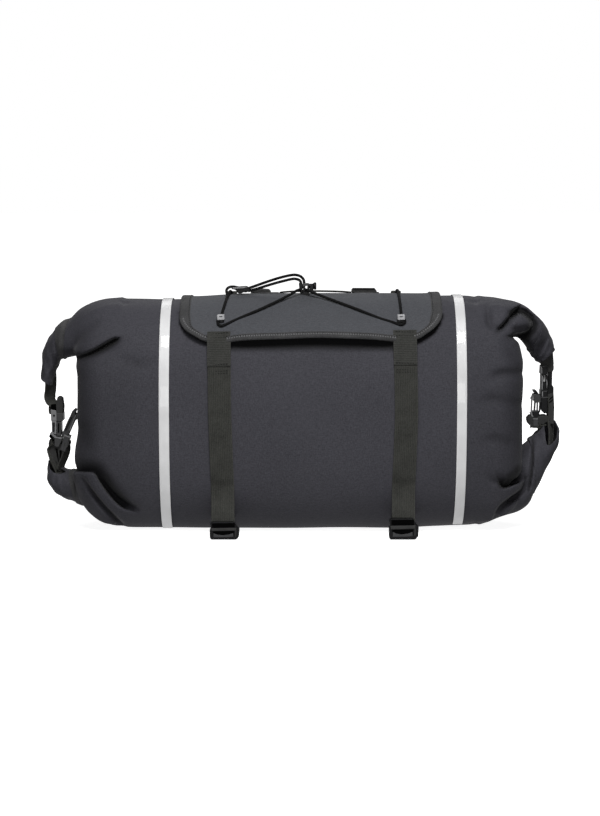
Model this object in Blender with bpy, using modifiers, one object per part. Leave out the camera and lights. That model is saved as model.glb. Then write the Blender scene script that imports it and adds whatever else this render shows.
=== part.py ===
"""Roll-end handlebar bag for a bicycle: a hollow coated-fabric tube whose two ends are rolled
shut and buckled into loops, with a bound flap, two closing straps and an elastic cord.

Sizes in the tables are millimetres: X to the right, Y to the rear, Z up. The bag stands on its
own flat underside. Many positions are given on the bag's skin as (x, s, lift): s runs round the
section from the top line, positive towards the front, and lift is the height above the skin.
"""

import math

import bmesh
import bpy
import numpy as np
from mathutils import Matrix, Vector

MM = 0.001

# ---- driving sizes (mm) ---------------------------------------------------------------------
ORIGIN_SHIFT_Y = -13.6      # puts the origin under the middle of the whole assembly
WALL = 1.6                  # coated fabric
SECTION_POWER = 2.4         # superellipse of the body's section
WALL_LEFT, WALL_RIGHT = -241.0, 239.0
END_ROUND_X, END_ROUND_R = 28.0, 34.0   # rounding of the tube's two ends
VALLEY_DEPTH, VALLEY_IN, VALLEY_OUT = 24.0, 19.0, 44.0   # trough that the rolled strip lies in
WEB, WEB_T = 25.0, 1.3      # strap webbing
CLOSURE_WEB = 20.0          # webbing of the end closures
GAP = 0.3
FLAP_LIFT, FLAP_T = 0.8, 1.5
BIND_T, BIND_W = 1.0, 11.0
BIND_GAP = 0.6              # the facets of the flap and of its binding differ by up to 0.3
CORD_R = 1.35
BAR_R = 15.9                # 31.8 mm handlebar
LOCK_W, LOCK_H, LOCK_T = 31.0, 21.5, 3.4
BUTTON_TRAVEL = 2.5

# Body sections. Columns: x, half_depth, top_z, bottom_z (the floor flattens what is below 0).
BODY = [
    (-213, 84, 250.0, -1.5),
    (-180, 87, 251.6, -3.0),
    (-144, 88, 252.0, -3.0),
    (-60, 91, 253.0, -3.0),
    (12, 92, 253.4, -3.0),
    (85, 91, 253.4, -3.0),
    (171, 88, 253.0, -2.0),
    (211, 83, 250.5, 1.0),
]
BODY_X = [-213, -180, -144, -60, 12, 85, 171, 211]

# Roll-end sleeves, from the root inside the body to the open tip.
# Columns: x, z, width in the XZ plane, thickness in Y, y of the centre.
SLEEVES = {
    "top_left": [
        (-192, 214, 30, 84, 0), (-210, 222, 46, 104, 0), (-224, 221, 51, 100, 0),
        (-235, 216, 51, 92, 0), (-245, 211, 49, 82, 0), (-254, 206, 43, 70, 0),
        (-262, 200, 35, 58, 0), (-268, 193, 30, 50, 0), (-272, 184, 25, 44, 0),
        (-274, 173, 20, 40, 0), (-275.5, 160, 16.5, 36, 0),
    ],
    "bottom_left": [
        (-182, 28, 26, 74, 0), (-203, 24, 41, 92, 0), (-220, 31, 43, 88, 0),
        (-235, 39, 37, 78, 0), (-248, 43, 32, 66, 0), (-258, 46, 30, 56, 0),
        (-266, 52, 26, 48, 0), (-270.5, 60, 20, 42, 0), (-272, 70, 15, 36, 0),
    ],
    "top_right": [
        (190, 214, 30, 84, 0), (212, 225, 44, 102, 0), (230, 226.5, 41, 94, 0),
        (242, 224, 37, 84, 0), (250, 218, 34, 72, 0), (257, 210, 33, 62, 0),
        (264, 201, 31, 52, 0), (268.5, 193, 26, 44, 0), (271, 186, 20, 38, 0),
    ],
    "bottom_right": [
        (196, 31, 24, 72, 0), (217, 28, 40, 92, 0), (229, 33, 42, 86, 0),
        (238, 41, 40, 78, 0), (246, 53, 36, 68, 0), (254, 66, 33, 58, 0),
        (262, 79, 31, 50, 0), (268, 90, 28, 44, 0), (273, 102, 22, 40, 0),
        (274.5, 113, 15.5, 36, 0),
    ],
}

# Rolled strips in the end valleys. Columns: x, z, thickness, width in Y.
ROLLS = {
    "left": [(-226.5, 59, 8, 33), (-227.3, 64, 10, 36), (-227.6, 90, 10, 36), (-227.9, 126, 10.4, 36.5),
             (-228, 160, 10, 36), (-227, 184, 10, 36), (-226, 190, 8, 33)],
    "right": [(223, 60, 8, 33), (224, 66, 10, 36), (225.5, 92, 10, 36), (226, 126, 10.4, 36.5),
              (225.7, 166, 10, 36), (225, 196, 10, 36), (224.5, 202, 8, 33)],
}

# Flap's lower outline on the skin. Columns: x, s of the edge.
FLAP_BACK_S = -60.0
FLAP_EDGE = [
    (-128.1, 54), (-127.6, 62), (-125.7, 70), (-120.5, 78.5), (-112.2, 85), (-98.6, 91.4),
    (-73.5, 93.2), (-28.6, 92.5), (17.0, 91.6), (59.3, 92), (98.5, 93.8), (123.3, 91.6),
    (133.4, 86.5), (141.7, 80), (148.0, 70.5), (150.8, 61), (151.4, 52),
]

BAND_X = {"left": (-144.0, 10.6), "right": (171.4, 10.2)}      # reflective bands: x, width
BAND_S = (-313.0, 313.0)
STRAP_X = {"left": (-86.0, -84.8, -82.0), "right": (111.0, 112.6, 110.0)}  # x at top, middle, foot
BAR_STRAP_X = {"left": -38.0, "right": 73.0}


# ---- the bag's skin ------------------------------------------------------------------------
def body_dims(x):
    rows = np.array(BODY, float)
    return tuple(float(np.interp(x, rows[:, 0], rows[:, k])) for k in (1, 2, 3))


def section(x, inset=0.0, shrink=0.0, count=34):
    """Closed ring of (y, z) round the body at x, from the top line towards the front."""
    depth, top, bottom = body_dims(x)
    half_y = depth - inset - shrink
    half_z = (top - bottom) / 2 - inset - shrink
    mid_z = (top + bottom) / 2
    ring = []
    for k in range(count):
        a = math.pi / 2 - 2 * math.pi * k / count
        c, s = math.cos(a), math.sin(a)
        y = -half_y * math.copysign(abs(c) ** (2 / SECTION_POWER), c)
        z = mid_z + half_z * math.copysign(abs(s) ** (2 / SECTION_POWER), s)
        ring.append((y, max(z, inset)))
    return ring


_skins = {}


def skin(x, s, lift=0.0):
    """Point of the skin at x and arc length s, raised by lift along the skin's normal."""
    key = round(x, 2)
    if key not in _skins:
        ring = np.array(section(x, count=720) + section(x, count=720)[:1])
        run = np.concatenate([[0], np.cumsum(np.hypot(*np.diff(ring, axis=0).T))])
        _skins[key] = (ring, run)
    ring, run = _skins[key]
    total = run[-1]

    def at(v):
        v %= total
        return np.array([np.interp(v, run, ring[:, 0]), np.interp(v, run, ring[:, 1])])

    along = at(s + 1.5) - at(s - 1.5)
    normal = np.array([along[1], -along[0]]) / np.hypot(*along)
    y, z = at(s) + normal * lift
    return Vector((x, float(y), float(z)))


def skin_path(rows):
    return [skin(x, s, lift) for x, s, lift in rows]


def smooth_path(points, count):
    """Catmull-Rom through the points, evenly spaced."""
    pts = [np.array(p, float) for p in points]
    pts = [2 * pts[0] - pts[1]] + pts + [2 * pts[-1] - pts[-2]]
    dense = []
    for i in range(1, len(pts) - 2):
        for t in np.linspace(0, 1, 24, endpoint=False):
            a, b, c, d = pts[i - 1:i + 3]
            dense.append(0.5 * (2 * b + (c - a) * t + (2 * a - 5 * b + 4 * c - d) * t * t
                                + (3 * b - a - 3 * c + d) * t ** 3))
    dense.append(pts[-2])
    dense = np.array(dense)
    run = np.concatenate([[0], np.cumsum(np.linalg.norm(np.diff(dense, axis=0), axis=1))])
    at = np.linspace(0, run[-1], count)
    return [Vector([np.interp(v, run, dense[:, k]) for k in range(3)]) for v in at]


# ---- Blender helpers -----------------------------------------------------------------------
for old in list(bpy.data.objects):
    bpy.data.objects.remove(old, do_unlink=True)

bag = bpy.data.collections.new("handlebar_bag")
cutters = bpy.data.collections.new("cutters")
bpy.context.scene.collection.children.link(bag)
bpy.context.scene.collection.children.link(cutters)
cutters.hide_render = True
frame = bpy.data.objects.new("bag_frame", None)
frame.location = (0, ORIGIN_SHIFT_Y * MM, 0)
bag.objects.link(frame)


def material(name, colour, rough, metallic=0.0):
    mat = bpy.data.materials.get(name) or bpy.data.materials.new(name)
    mat.use_nodes = True
    shader = mat.node_tree.nodes["Principled BSDF"]
    shader.inputs["Base Color"].default_value = (*colour, 1)
    shader.inputs["Roughness"].default_value = rough
    shader.inputs["Metallic"].default_value = metallic
    return mat


FABRIC = ("coated_fabric", (0.045, 0.044, 0.048), 0.75)
FLAP_CLOTH = ("flap_fabric", (0.075, 0.077, 0.082), 0.8)
WEBBING = ("webbing", (0.035, 0.036, 0.028), 0.85)
TAPE = ("reflective_tape", (0.75, 0.75, 0.75), 0.35)
PLASTIC = ("black_plastic", (0.02, 0.02, 0.022), 0.4)
GREY_PLASTIC = ("grey_plastic", (0.25, 0.25, 0.26), 0.45)
ELASTIC = ("elastic_cord", (0.02, 0.02, 0.02), 0.7)


def finish(obj, look, smooth=True, angle=35):
    bag.objects.link(obj)
    obj.parent = frame
    name, colour, rough = look
    obj.data.materials.clear()
    obj.data.materials.append(material(f"{obj.name}_{name}", colour, rough))
    if obj.type == "MESH" and smooth:
        obj.data.shade_smooth()
        obj.data.set_sharp_from_angle(angle=math.radians(angle))
    return obj


def cutter(obj):
    cutters.objects.link(obj)
    obj.hide_render = True
    obj.display_type = "WIRE"
    obj.parent = frame
    return obj


def mesh_object(name, bm):
    bmesh.ops.recalc_face_normals(bm, faces=bm.faces)
    mesh = bpy.data.meshes.new(name)
    bm.to_mesh(mesh)
    bm.free()
    return bpy.data.objects.new(name, mesh)


def loft(name, rings, tip_start=None, tip_end=None, triangulate=True):
    """Closed solid through rings of equal point counts, its ends capped flat or by a point."""
    bm = bmesh.new()
    rows = [[bm.verts.new(Vector(p) * MM) for p in ring] for ring in rings]
    for a, b in zip(rows, rows[1:]):
        for k in range(len(a)):
            m = (k + 1) % len(a)
            bm.faces.new((a[k], a[m], b[m], b[k]))
    for row, tip in ((rows[0], tip_start), (rows[-1], tip_end)):
        if tip is None:
            bm.faces.new(row)
        else:
            point = bm.verts.new(Vector(tip) * MM)
            for k in range(len(row)):
                bm.faces.new((row[k], row[(k + 1) % len(row)], point))
    if triangulate:
        bmesh.ops.triangulate(bm, faces=bm.faces)
    return mesh_object(name, bm)


def webbing(name, path, width, thick, across=(1, 0, 0), look=WEBBING):
    """Flat strap: a rectangle of width x thick swept along the path's middle line."""
    across_all = across if isinstance(across, list) else [Vector(across)] * len(path)
    rings = []
    for k, p in enumerate(path):
        ahead = path[min(k + 1, len(path) - 1)] - path[max(k - 1, 0)]
        w = Vector(across_all[k]).normalized()
        n = ahead.cross(w).normalized()
        w = n.cross(ahead).normalized() * (width / 2)
        n *= thick / 2
        rings.append([p - w - n, p + w - n, p + w + n, p - w + n])
    return finish(loft(name, rings, triangulate=False), look, angle=25)


def box(name, size, centre, bevel=0.0):
    bm = bmesh.new()
    bmesh.ops.create_cube(bm, size=1.0)
    bmesh.ops.scale(bm, vec=Vector(size) * MM, verts=bm.verts)
    if bevel:
        bmesh.ops.bevel(bm, geom=list(bm.edges), offset=bevel * MM, segments=1, affect="EDGES")
    bmesh.ops.translate(bm, vec=Vector(centre) * MM, verts=bm.verts)
    return mesh_object(name, bm)


def rod(name, radius, length, centre, axis="Z", sides=16):
    bm = bmesh.new()
    bmesh.ops.create_cone(bm, cap_ends=True, segments=sides, radius1=radius * MM,
                          radius2=radius * MM, depth=length * MM)
    turn = {"X": Matrix.Rotation(math.pi / 2, 4, "Y"), "Y": Matrix.Rotation(math.pi / 2, 4, "X"),
            "Z": Matrix.Identity(4)}[axis]
    bmesh.ops.transform(bm, matrix=Matrix.Translation(Vector(centre) * MM) @ turn, verts=bm.verts)
    return mesh_object(name, bm)


def boolean(obj, other, operation="DIFFERENCE"):
    mod = obj.modifiers.new(operation.lower(), "BOOLEAN")
    mod.operation = operation
    mod.solver = "EXACT"
    mod.object = other
    return mod


def plate(name, outlines, thick):
    """Flat plate from closed 2D outlines (the inner ones are holes), as a welded mesh."""
    curve = bpy.data.curves.new(name, "CURVE")
    curve.dimensions = "2D"
    curve.fill_mode = "BOTH"
    curve.extrude = thick / 2 * MM
    for outline in outlines:
        spline = curve.splines.new("POLY")
        spline.points.add(len(outline) - 1)
        for point, (u, v) in zip(spline.points, outline):
            point.co = (u * MM, v * MM, 0, 1)
        spline.use_cyclic_u = True
    helper = bpy.data.objects.new(name + "_curve", curve)
    bpy.context.scene.collection.objects.link(helper)
    graph = bpy.context.evaluated_depsgraph_get()
    mesh = bpy.data.meshes.new_from_object(helper.evaluated_get(graph))
    bpy.data.objects.remove(helper, do_unlink=True)
    bm = bmesh.new()
    bm.from_mesh(mesh)
    bmesh.ops.remove_doubles(bm, verts=bm.verts, dist=1e-6)
    return mesh_object(name, bm)


def round_rect(cx, cy, w, h, r, steps=3):
    out = []
    for qx, qy, a0 in ((1, 1, 0), (-1, 1, 90), (-1, -1, 180), (1, -1, 270)):
        for k in range(steps + 1):
            a = math.radians(a0 + 90 * k / steps)
            out.append((cx + qx * (w / 2 - r) + r * math.cos(a), cy + qy * (h / 2 - r) + r * math.sin(a)))
    return out


def place(obj, origin, across, along):
    """Sets the object so its local X points across, local Y along, at origin (mm)."""
    y = Vector(along).normalized()
    x = Vector(across)
    x = (x - x.dot(y) * y).normalized()
    z = x.cross(y)
    turn = Matrix((x, y, z)).transposed().to_4x4()
    obj.matrix_basis = Matrix.Translation(Vector(origin) * MM) @ turn
    return obj


def cord(name, points, count, radius=CORD_R):
    curve = bpy.data.curves.new(name, "CURVE")
    curve.dimensions = "3D"
    curve.bevel_depth = radius * MM
    curve.bevel_resolution = 2
    curve.use_fill_caps = True
    route = smooth_path(points, count)
    spline = curve.splines.new("POLY")
    spline.points.add(len(route) - 1)
    for point, p in zip(spline.points, route):
        point.co = (*(p * MM), 1)
    return finish(bpy.data.objects.new(name, curve), ELASTIC)


# ---- bag shell -----------------------------------------------------------------------------
def smoothstep(v, low, high):
    t = min(max((v - low) / (high - low), 0.0), 1.0)
    return t * t * (3 - 2 * t)


def end_rings(side, inset):
    """Rings that round the tube's end and close it over the valley, from the body outwards."""
    x_wall = (WALL_LEFT if side < 0 else WALL_RIGHT) - side * inset
    x_body = BODY_X[0] if side < 0 else BODY_X[-1]
    rings = []
    for turn in (30, 55, 75, 90):
        a = math.radians(turn)
        shrink = END_ROUND_R * (1 - math.cos(a))
        x0 = x_wall - side * END_ROUND_X * (1 - math.sin(a))
        dip = math.sin(a) ** 3
        rings.append([(x0 - side * VALLEY_DEPTH * dip * (1 - smoothstep(abs(y), VALLEY_IN, VALLEY_OUT)), y, z)
                      for y, z in section(x_body, inset, shrink)])
    edge = rings[-1]
    mid_z = sum(p[2] for p in edge) / len(edge)
    for scale in (0.84, 0.64, 0.42, 0.2):
        ring = []
        for x, y, z in edge:
            yy, zz = y * scale, mid_z + (z - mid_z) * scale
            bulge = 2.0 * (1 - scale)
            valley = VALLEY_DEPTH * (1 - smoothstep(abs(yy), VALLEY_IN, VALLEY_OUT))
            ring.append((x_wall + side * (bulge - valley), yy, zz))
        rings.append(ring)
    tip = (x_wall + side * (2.0 - VALLEY_DEPTH), 0, mid_z)
    return rings, tip


def body_form(name, inset):
    left, left_tip = end_rings(-1, inset)
    right, right_tip = end_rings(1, inset)
    middle = [[(x, y, z) for y, z in section(x, inset)] for x in BODY_X]
    return loft(name, left[::-1] + middle + right, left_tip, right_tip)


def sleeve_form(name, rows, inset):
    rows = [list(map(float, r)) for r in rows]
    if inset:
        last, before = np.array(rows[-1]), np.array(rows[-2])
        step = (last - before) / np.linalg.norm((last - before)[:2]) * 4.0
        rows.append(list(last + np.array([step[0], step[1], 0, 0, step[4]])))
    rings = []
    for k, (x, z, width, thick, y) in enumerate(rows):
        a, b = rows[max(k - 1, 0)], rows[min(k + 1, len(rows) - 1)]
        tx, tz = b[0] - a[0], b[1] - a[1]
        size = math.hypot(tx, tz)
        nx, nz = -tz / size, tx / size
        ring = []
        for j in range(12):
            t = 2 * math.pi * j / 12
            c, s = math.cos(t), math.sin(t)
            across = (width / 2 - inset) * math.copysign(abs(c) ** 0.8, c)
            deep = (thick / 2 - inset) * math.copysign(abs(s) ** 0.8, s)
            ring.append((x + nx * across, y + deep, max(z + nz * across, 0.35 + inset)))
        rings.append(ring)
    return loft(name, rings)


shell = finish(body_form("bag_shell", 0.0), FABRIC)
hollow = cutter(body_form("body_hollow", WALL))
inner = {}
for where, rows in SLEEVES.items():
    inner[where] = cutter(sleeve_form(f"sleeve_hollow_{where}", rows, WALL))
    boolean(hollow, inner[where], "UNION")
boolean(shell, hollow)

# each sleeve opens into the body; a hair gap parts it from the body's wall
for where, rows in SLEEVES.items():
    sleeve = finish(sleeve_form(f"sleeve_{where}", rows, 0.0), FABRIC)
    away = cutter(body_form(f"sleeve_trim_{where}", -GAP))
    boolean(away, inner[where], "UNION")
    boolean(sleeve, away)

# ---- rolled strips -------------------------------------------------------------------------
for side, rows in ROLLS.items():
    rings = []
    for x, z, thick, wide in rows:
        ring = []
        for j in range(14):
            t = 2 * math.pi * j / 14
            c, s = math.cos(t), math.sin(t)
            ring.append((x + thick / 2 * math.copysign(abs(c) ** 0.6, c),
                         wide / 2 * math.copysign(abs(s) ** 0.6, s), z))
        rings.append(ring)
    finish(loft(f"roll_closure_{side}", rings), FABRIC)

# ---- reflective bands ----------------------------------------------------------------------
for side, (x, width) in BAND_X.items():
    path = [skin(x, s, GAP + 1.1) for s in np.linspace(*BAND_S, 44)]
    webbing(f"reflective_band_{side}", path, width, 0.8, look=TAPE)

# ---- flap and its binding ------------------------------------------------------------------
edge_rows = np.array(FLAP_EDGE, float)
flap_x = [edge_rows[0, 0], -127.6, -125.7, -120.5, -112.2, -98.6, -73.5, -28.6, 17.0, 59.3, 98.5,
          123.3, 133.4, 141.7, 148.0, 150.8, edge_rows[-1, 0]]
bm = bmesh.new()
grid = []
for x in flap_x:
    edge_s = float(np.interp(x, edge_rows[:, 0], edge_rows[:, 1]))
    grid.append([bm.verts.new(skin(x, s, FLAP_LIFT) * MM) for s in np.linspace(FLAP_BACK_S, edge_s, 12)])
for a, b in zip(grid, grid[1:]):
    for k in range(len(a) - 1):
        bm.faces.new((a[k], b[k], b[k + 1], a[k + 1]))
flap = mesh_object("flap", bm)
# the sheet's faces have to look away from the bag, so that the thickness goes outwards
if sum(p.normal.z for p in flap.data.polygons) < 0:
    flap.data.flip_normals()
solid = flap.modifiers.new("cloth", "SOLIDIFY")
solid.thickness = FLAP_T * MM
solid.offset = 1.0
solid.use_even_offset = True
finish(flap, FLAP_CLOTH)


def flap_outline():
    """The flap's edge from the rear left corner round the front to the rear right, as (x, s)."""
    x0, x1 = edge_rows[0, 0], edge_rows[-1, 0]
    left = [(x0, s) for s in np.linspace(FLAP_BACK_S, edge_rows[0, 1], 9)[:-1]]
    right = [(x1, s) for s in np.linspace(edge_rows[-1, 1], FLAP_BACK_S, 9)[1:]]
    return left + [tuple(r) for r in edge_rows] + right


outline = [Vector(p) for p in flap_outline()]
rings = []
for k, p in enumerate(outline):
    along = outline[min(k + 1, len(outline) - 1)] - outline[max(k - 1, 0)]
    inward = Vector((along.y, -along.x)).normalized()
    inner = p + inward * BIND_W
    low, high = FLAP_LIFT + FLAP_T + BIND_GAP, FLAP_LIFT + FLAP_T + BIND_GAP + BIND_T
    rings.append([skin(p.x, p.y, low), skin(inner.x, inner.y, low),
                  skin(inner.x, inner.y, high), skin(p.x, p.y, high)])
finish(loft("flap_binding", rings), WEBBING, angle=25)

# ---- closing straps, ladder locks, lower anchors -------------------------------------------
LOCK_FOOT = Vector((0, -100.5, 2.6))          # middle of the lock's lower edge
LOCK_UP = Vector((0, 0.30, 0.954)).normalized()
LOCK_BACK = Vector((0, 0.954, -0.30)).normalized()   # from the lock's face towards the bag


def lock_plate(name, width, height, thick, slots):
    outlines = [round_rect(0, height / 2, width, height, 2.0)]
    for low, high in slots:
        outlines.append(round_rect(0, (low + high) / 2, width - 4.4, high - low, 0.5, 1)[::-1])
    return finish(plate(name, outlines, thick), PLASTIC, smooth=False)


def lock_point(x, up, back):
    return Vector((x, 0, 0)) + LOCK_FOOT + LOCK_UP * up + LOCK_BACK * back


for side, (x_top, x_mid, x_foot) in STRAP_X.items():
    lock = lock_plate(f"ladder_lock_{side}", LOCK_W, LOCK_H, LOCK_T, [(2.0, 4.5), (7.2, 9.9), (12.9, 18.9)])
    place(lock, LOCK_FOOT + Vector((x_foot, 0, 0)), (1, 0, 0), LOCK_UP)
    high = FLAP_LIFT + FLAP_T + BIND_GAP + BIND_T + 0.6 + WEB_T / 2
    rows = [(84, high), (88, high), (92.5, high), (96, high - 0.5), (101, high - 1.5), (108, high - 2.6),
            (116, 2.0), (130, 1.8), (150, 1.75), (172, 1.75), (196, 1.75), (218, 1.75), (236, 1.8), (250, 1.9)]
    path = [skin(float(np.interp(s, (84, 170, 262), (x_top, x_mid, x_foot))), s, lift) for s, lift in rows]
    path += [lock_point(x_foot, u, v) for u, v in (
        (33, 3.6), (26, 3.0), (20.5, 2.75), (18.2, 2.2), (16.6, 0.6), (15.0, -1.4), (13.3, -2.75),
        (11.4, -2.95), (9.7, -2.65), (8.6, -0.9), (8.5, 0.9), (8.7, 2.6), (9.7, 4.0), (11.6, 4.7), (19, 5.0), (25, 5.4))]
    webbing(f"front_strap_{side}", path, WEB, WEB_T)
    under = [lock_point(x_foot, u, v) for u, v in (
        (6.6, 3.6), (5.0, 3.2), (3.6, 2.2), (3.15, 0.6), (3.1, -0.9), (2.6, -2.2), (1.0, -2.75),
        (-0.7, -2.2), (-1.2, -0.6), (-1.15, 1.2), (-0.5, 3.4))]
    under += [Vector((x_foot, -88.0, 3.6)), Vector((x_foot, -78.0, 7.2)), skin(x_foot, 292, 1.3),
              skin(x_foot, 300, 1.15), skin(x_foot, 312, 1.1)]
    webbing(f"under_strap_{side}", under, WEB - 1, WEB_T)

# ---- elastic cord, its lock, hooks and pull tab --------------------------------------------
LOCK_X0, LOCK_X1 = -2.2, 11.0
LOCK_Y, LOCK_Z0, LOCK_Z1 = -13.5, 260.5, 268.0
HOLE_X = (0.1, 3.9)
HOLE_Y, HOLE_Z, HOLE_LEAN = 0.2, 264.2, 0.42      # the cord holes lean back as they rise
on_flap = FLAP_LIFT + FLAP_T + GAP + CORD_R + 0.2


def hole_point(k, z):
    return (HOLE_X[k], LOCK_Y + HOLE_Y + HOLE_LEAN * (z - HOLE_Z), z)



body = box("cord_lock", (LOCK_X1 - LOCK_X0, 9.0, LOCK_Z1 - LOCK_Z0),
           ((LOCK_X0 + LOCK_X1) / 2, LOCK_Y + 1.0, (LOCK_Z0 + LOCK_Z1) / 2), bevel=1.2)
finish(body, PLASTIC)
for k, hx in enumerate(HOLE_X):
    hole = cutter(rod(f"cord_hole_{k}", CORD_R + 0.4, 20, (0, 0, 0), "Z", 14))
    hole.location = Vector((hx, LOCK_Y + HOLE_Y, HOLE_Z)) * MM
    hole.rotation_euler = (-math.atan(HOLE_LEAN), 0, 0)
    boolean(body, hole)
boolean(body, cutter(rod("plunger_bore", 2.9, 8.0, (LOCK_X1 - 4.8 + 4.0, LOCK_Y + 1.0, 264.2), "X", 16)))

# the button: a shank in the bore, a cone and a disc, turned about X
profile = [(8.9, 0.0), (8.9, 2.6), (14.2, 2.6), (14.4, 3.0), (15.2, 4.0), (17.4, 4.0), (17.8, 3.5), (17.8, 0.0)]
bm = bmesh.new()
verts = [bm.verts.new((0, r * MM, (h - 13.0) * MM)) for h, r in profile]
for a, b in zip(verts, verts[1:]):
    bm.edges.new((a, b))
bmesh.ops.spin(bm, geom=bm.verts[:] + bm.edges[:], cent=(0, 0, 0), axis=(0, 0, 1),
               angle=2 * math.pi, steps=16, use_merge=True)
bmesh.ops.remove_doubles(bm, verts=bm.verts, dist=1e-6)
button = finish(mesh_object("cord_lock_button", bm), GREY_PLASTIC)
button.location = Vector((13.0, LOCK_Y + 1.0, 264.2)) * MM
button.rotation_euler = (0, math.pi / 2, 0)

base = finish(box("cord_lock_base", (9.0, 3.0, 4.2), (4.4, LOCK_Y + 3.9, 258.1), bevel=0.6), WEBBING, smooth=False)

# Cord routes. Columns: x, s, lift over the skin, from the rear anchor to the cord lock.
ROUTE = {
    "left": [(-75.0, -22, on_flap + 0.3), (-76.0, -8, on_flap + 1.2), (-76.6, 6, on_flap + 1.4), (-78.0, 22, on_flap + 0.3),
             (-80.3, 42, on_flap), (-83.0, 58, on_flap + 0.2), (-84.2, 65, on_flap + 0.4), (-87.9, 70.5, on_flap + 1.2),
             (-88.3, 74.4, on_flap + 1.2), (-84.8, 78.2, on_flap + 1.2), (-79.5, 76.0, on_flap + 1.1), (-73, 71.9, on_flap + 0.4), (-62, 66.2, on_flap),
             (-43.2, 55.8, on_flap), (-25, 44.0, on_flap), (-9.5, 31.5, on_flap), (-4.0, 25.0, on_flap)],
    "right": [(106.0, -22, on_flap + 0.3), (106.4, -8, on_flap + 1.2), (106.6, 6, on_flap + 1.4), (106.8, 22, on_flap + 0.3),
              (107.2, 42, on_flap), (107.8, 58, on_flap + 0.2), (108.2, 65, on_flap + 0.4), (112.0, 70.5, on_flap + 1.2),
              (112.4, 74.4, on_flap + 1.2), (108.6, 78.2, on_flap + 1.2), (103.2, 76.2, on_flap + 1.1), (96, 73.0, on_flap + 0.4), (85, 68.2, on_flap),
              (62, 56.2, on_flap), (40, 44.0, on_flap), (18, 31.5, on_flap), (9.0, 25.0, on_flap)],
}
TAIL = {
    "left": [hole_point(0, 258.6), hole_point(0, 260.6), hole_point(0, 268.2), (-1.6, LOCK_Y + 1.6, 271.2), (-5.4, LOCK_Y + 1.4, 272.4),
             (-10.0, LOCK_Y + 1.2, 271.7), (-22.0, LOCK_Y + 0.8, 268.6), (-36.0, LOCK_Y + 0.8, 264.6), (-46.0, LOCK_Y + 0.6, 261.4),
             (-53.4, LOCK_Y + 0.5, 259.4)],
    "right": [hole_point(1, 258.6), hole_point(1, 260.6), hole_point(1, 268.4), (2.4, LOCK_Y + 1.9, 273.2), (-2.2, LOCK_Y + 1.8, 276.0),
              (-9.0, LOCK_Y + 1.5, 276.2), (-22.0, LOCK_Y + 0.8, 273.2), (-36.0, LOCK_Y + 0.8, 268.8), (-47.0, LOCK_Y + 0.6, 265.2),
              (-53.4, LOCK_Y + 0.5, 263.0)],
}
for side, rows in ROUTE.items():
    cord(f"bungee_cord_{side}", [tuple(p) for p in skin_path(rows)] + TAIL[side], 76)


def skin_frame(x, s, lift):
    """Origin, across (X) and up-the-skin directions of a small piece lying on the flap."""
    up = (skin(x, s - 2, 0) - skin(x, s + 2, 0)).normalized()
    return skin(x, s, lift), (1, 0, 0), up


TOP_OF_FLAP = FLAP_LIFT + FLAP_T + GAP
for side, hook_x in (("left", -84.9), ("right", 108.4)):
    # crimp: a block with the cord running through it, open underneath
    clip = box(f"cord_clip_{side}", (8.2, 6.2, 4.6), (0, 0, 0), bevel=0.8)
    slot = cutter(box(f"clip_slot_{side}", (4.2, 12, 5.4), (0, 0, -1.1), 0.0))
    finish(clip, GREY_PLASTIC, smooth=False)
    boolean(clip, slot)
    at = skin_frame(hook_x + (1.4 if side == "left" else -0.4), 62.0, TOP_OF_FLAP + 2.6)
    place(clip, *at)
    place(slot, *at)
    # hook: a foot plate and a post with a head, which the cord turns round
    foot = box(f"cord_anchor_{side}", (9.6, 5.0, 1.0), (0, 0.8, 0.5), bevel=0.3)
    post = rod(f"hook_post_{side}", 1.5, 4.6, (0.2, -0.4, 2.3), "Z", 12)
    finish(foot, PLASTIC, smooth=False)
    cutter(post)
    boolean(foot, post, "UNION")
    at = skin_frame(hook_x, 73.0, TOP_OF_FLAP - 0.1)
    place(foot, *at)
    place(post, *at)
    rear = box(f"cord_rear_anchor_{side}", (11.0, 9.0, 3.6), (0, 0, 1.8), bevel=0.8)
    finish(rear, WEBBING, smooth=False)
    place(rear, *skin_frame(-75.0 if side == "left" else 106.0, -27.4, TOP_OF_FLAP + 0.2))

# pull tab: a folded leaf that both strands enter
rings = []
for x, z, high, deep in ((-54.0, 261.2, 6.4, 7), (-57.5, 261.0, 7.6, 10), (-63, 260.7, 7.2, 11),
                         (-68, 260.5, 6.2, 9.5), (-72, 260.6, 4.6, 7), (-74.0, 260.7, 3.4, 5)):
    rings.append([(x, LOCK_Y + 0.5 + deep / 2 * math.sin(t) * (abs(math.sin(t)) ** -0.2 if math.sin(t) else 1),
                   z + high / 2 * math.cos(t)) for t in [2 * math.pi * j / 12 for j in range(12)]])
finish(loft("cord_pull_tab", rings), PLASTIC)
cord("cord_tail_loop", [(-75.2, -13, 261.6), (-78.5, -13.6, 263.2), (-82.6, -14.6, 262.6), (-84.6, -16.6, 259.8),
                        (-84.4, -19.6, 258.8), (-83.4, -22.6, 258.0)], 22, 1.1)


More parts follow.
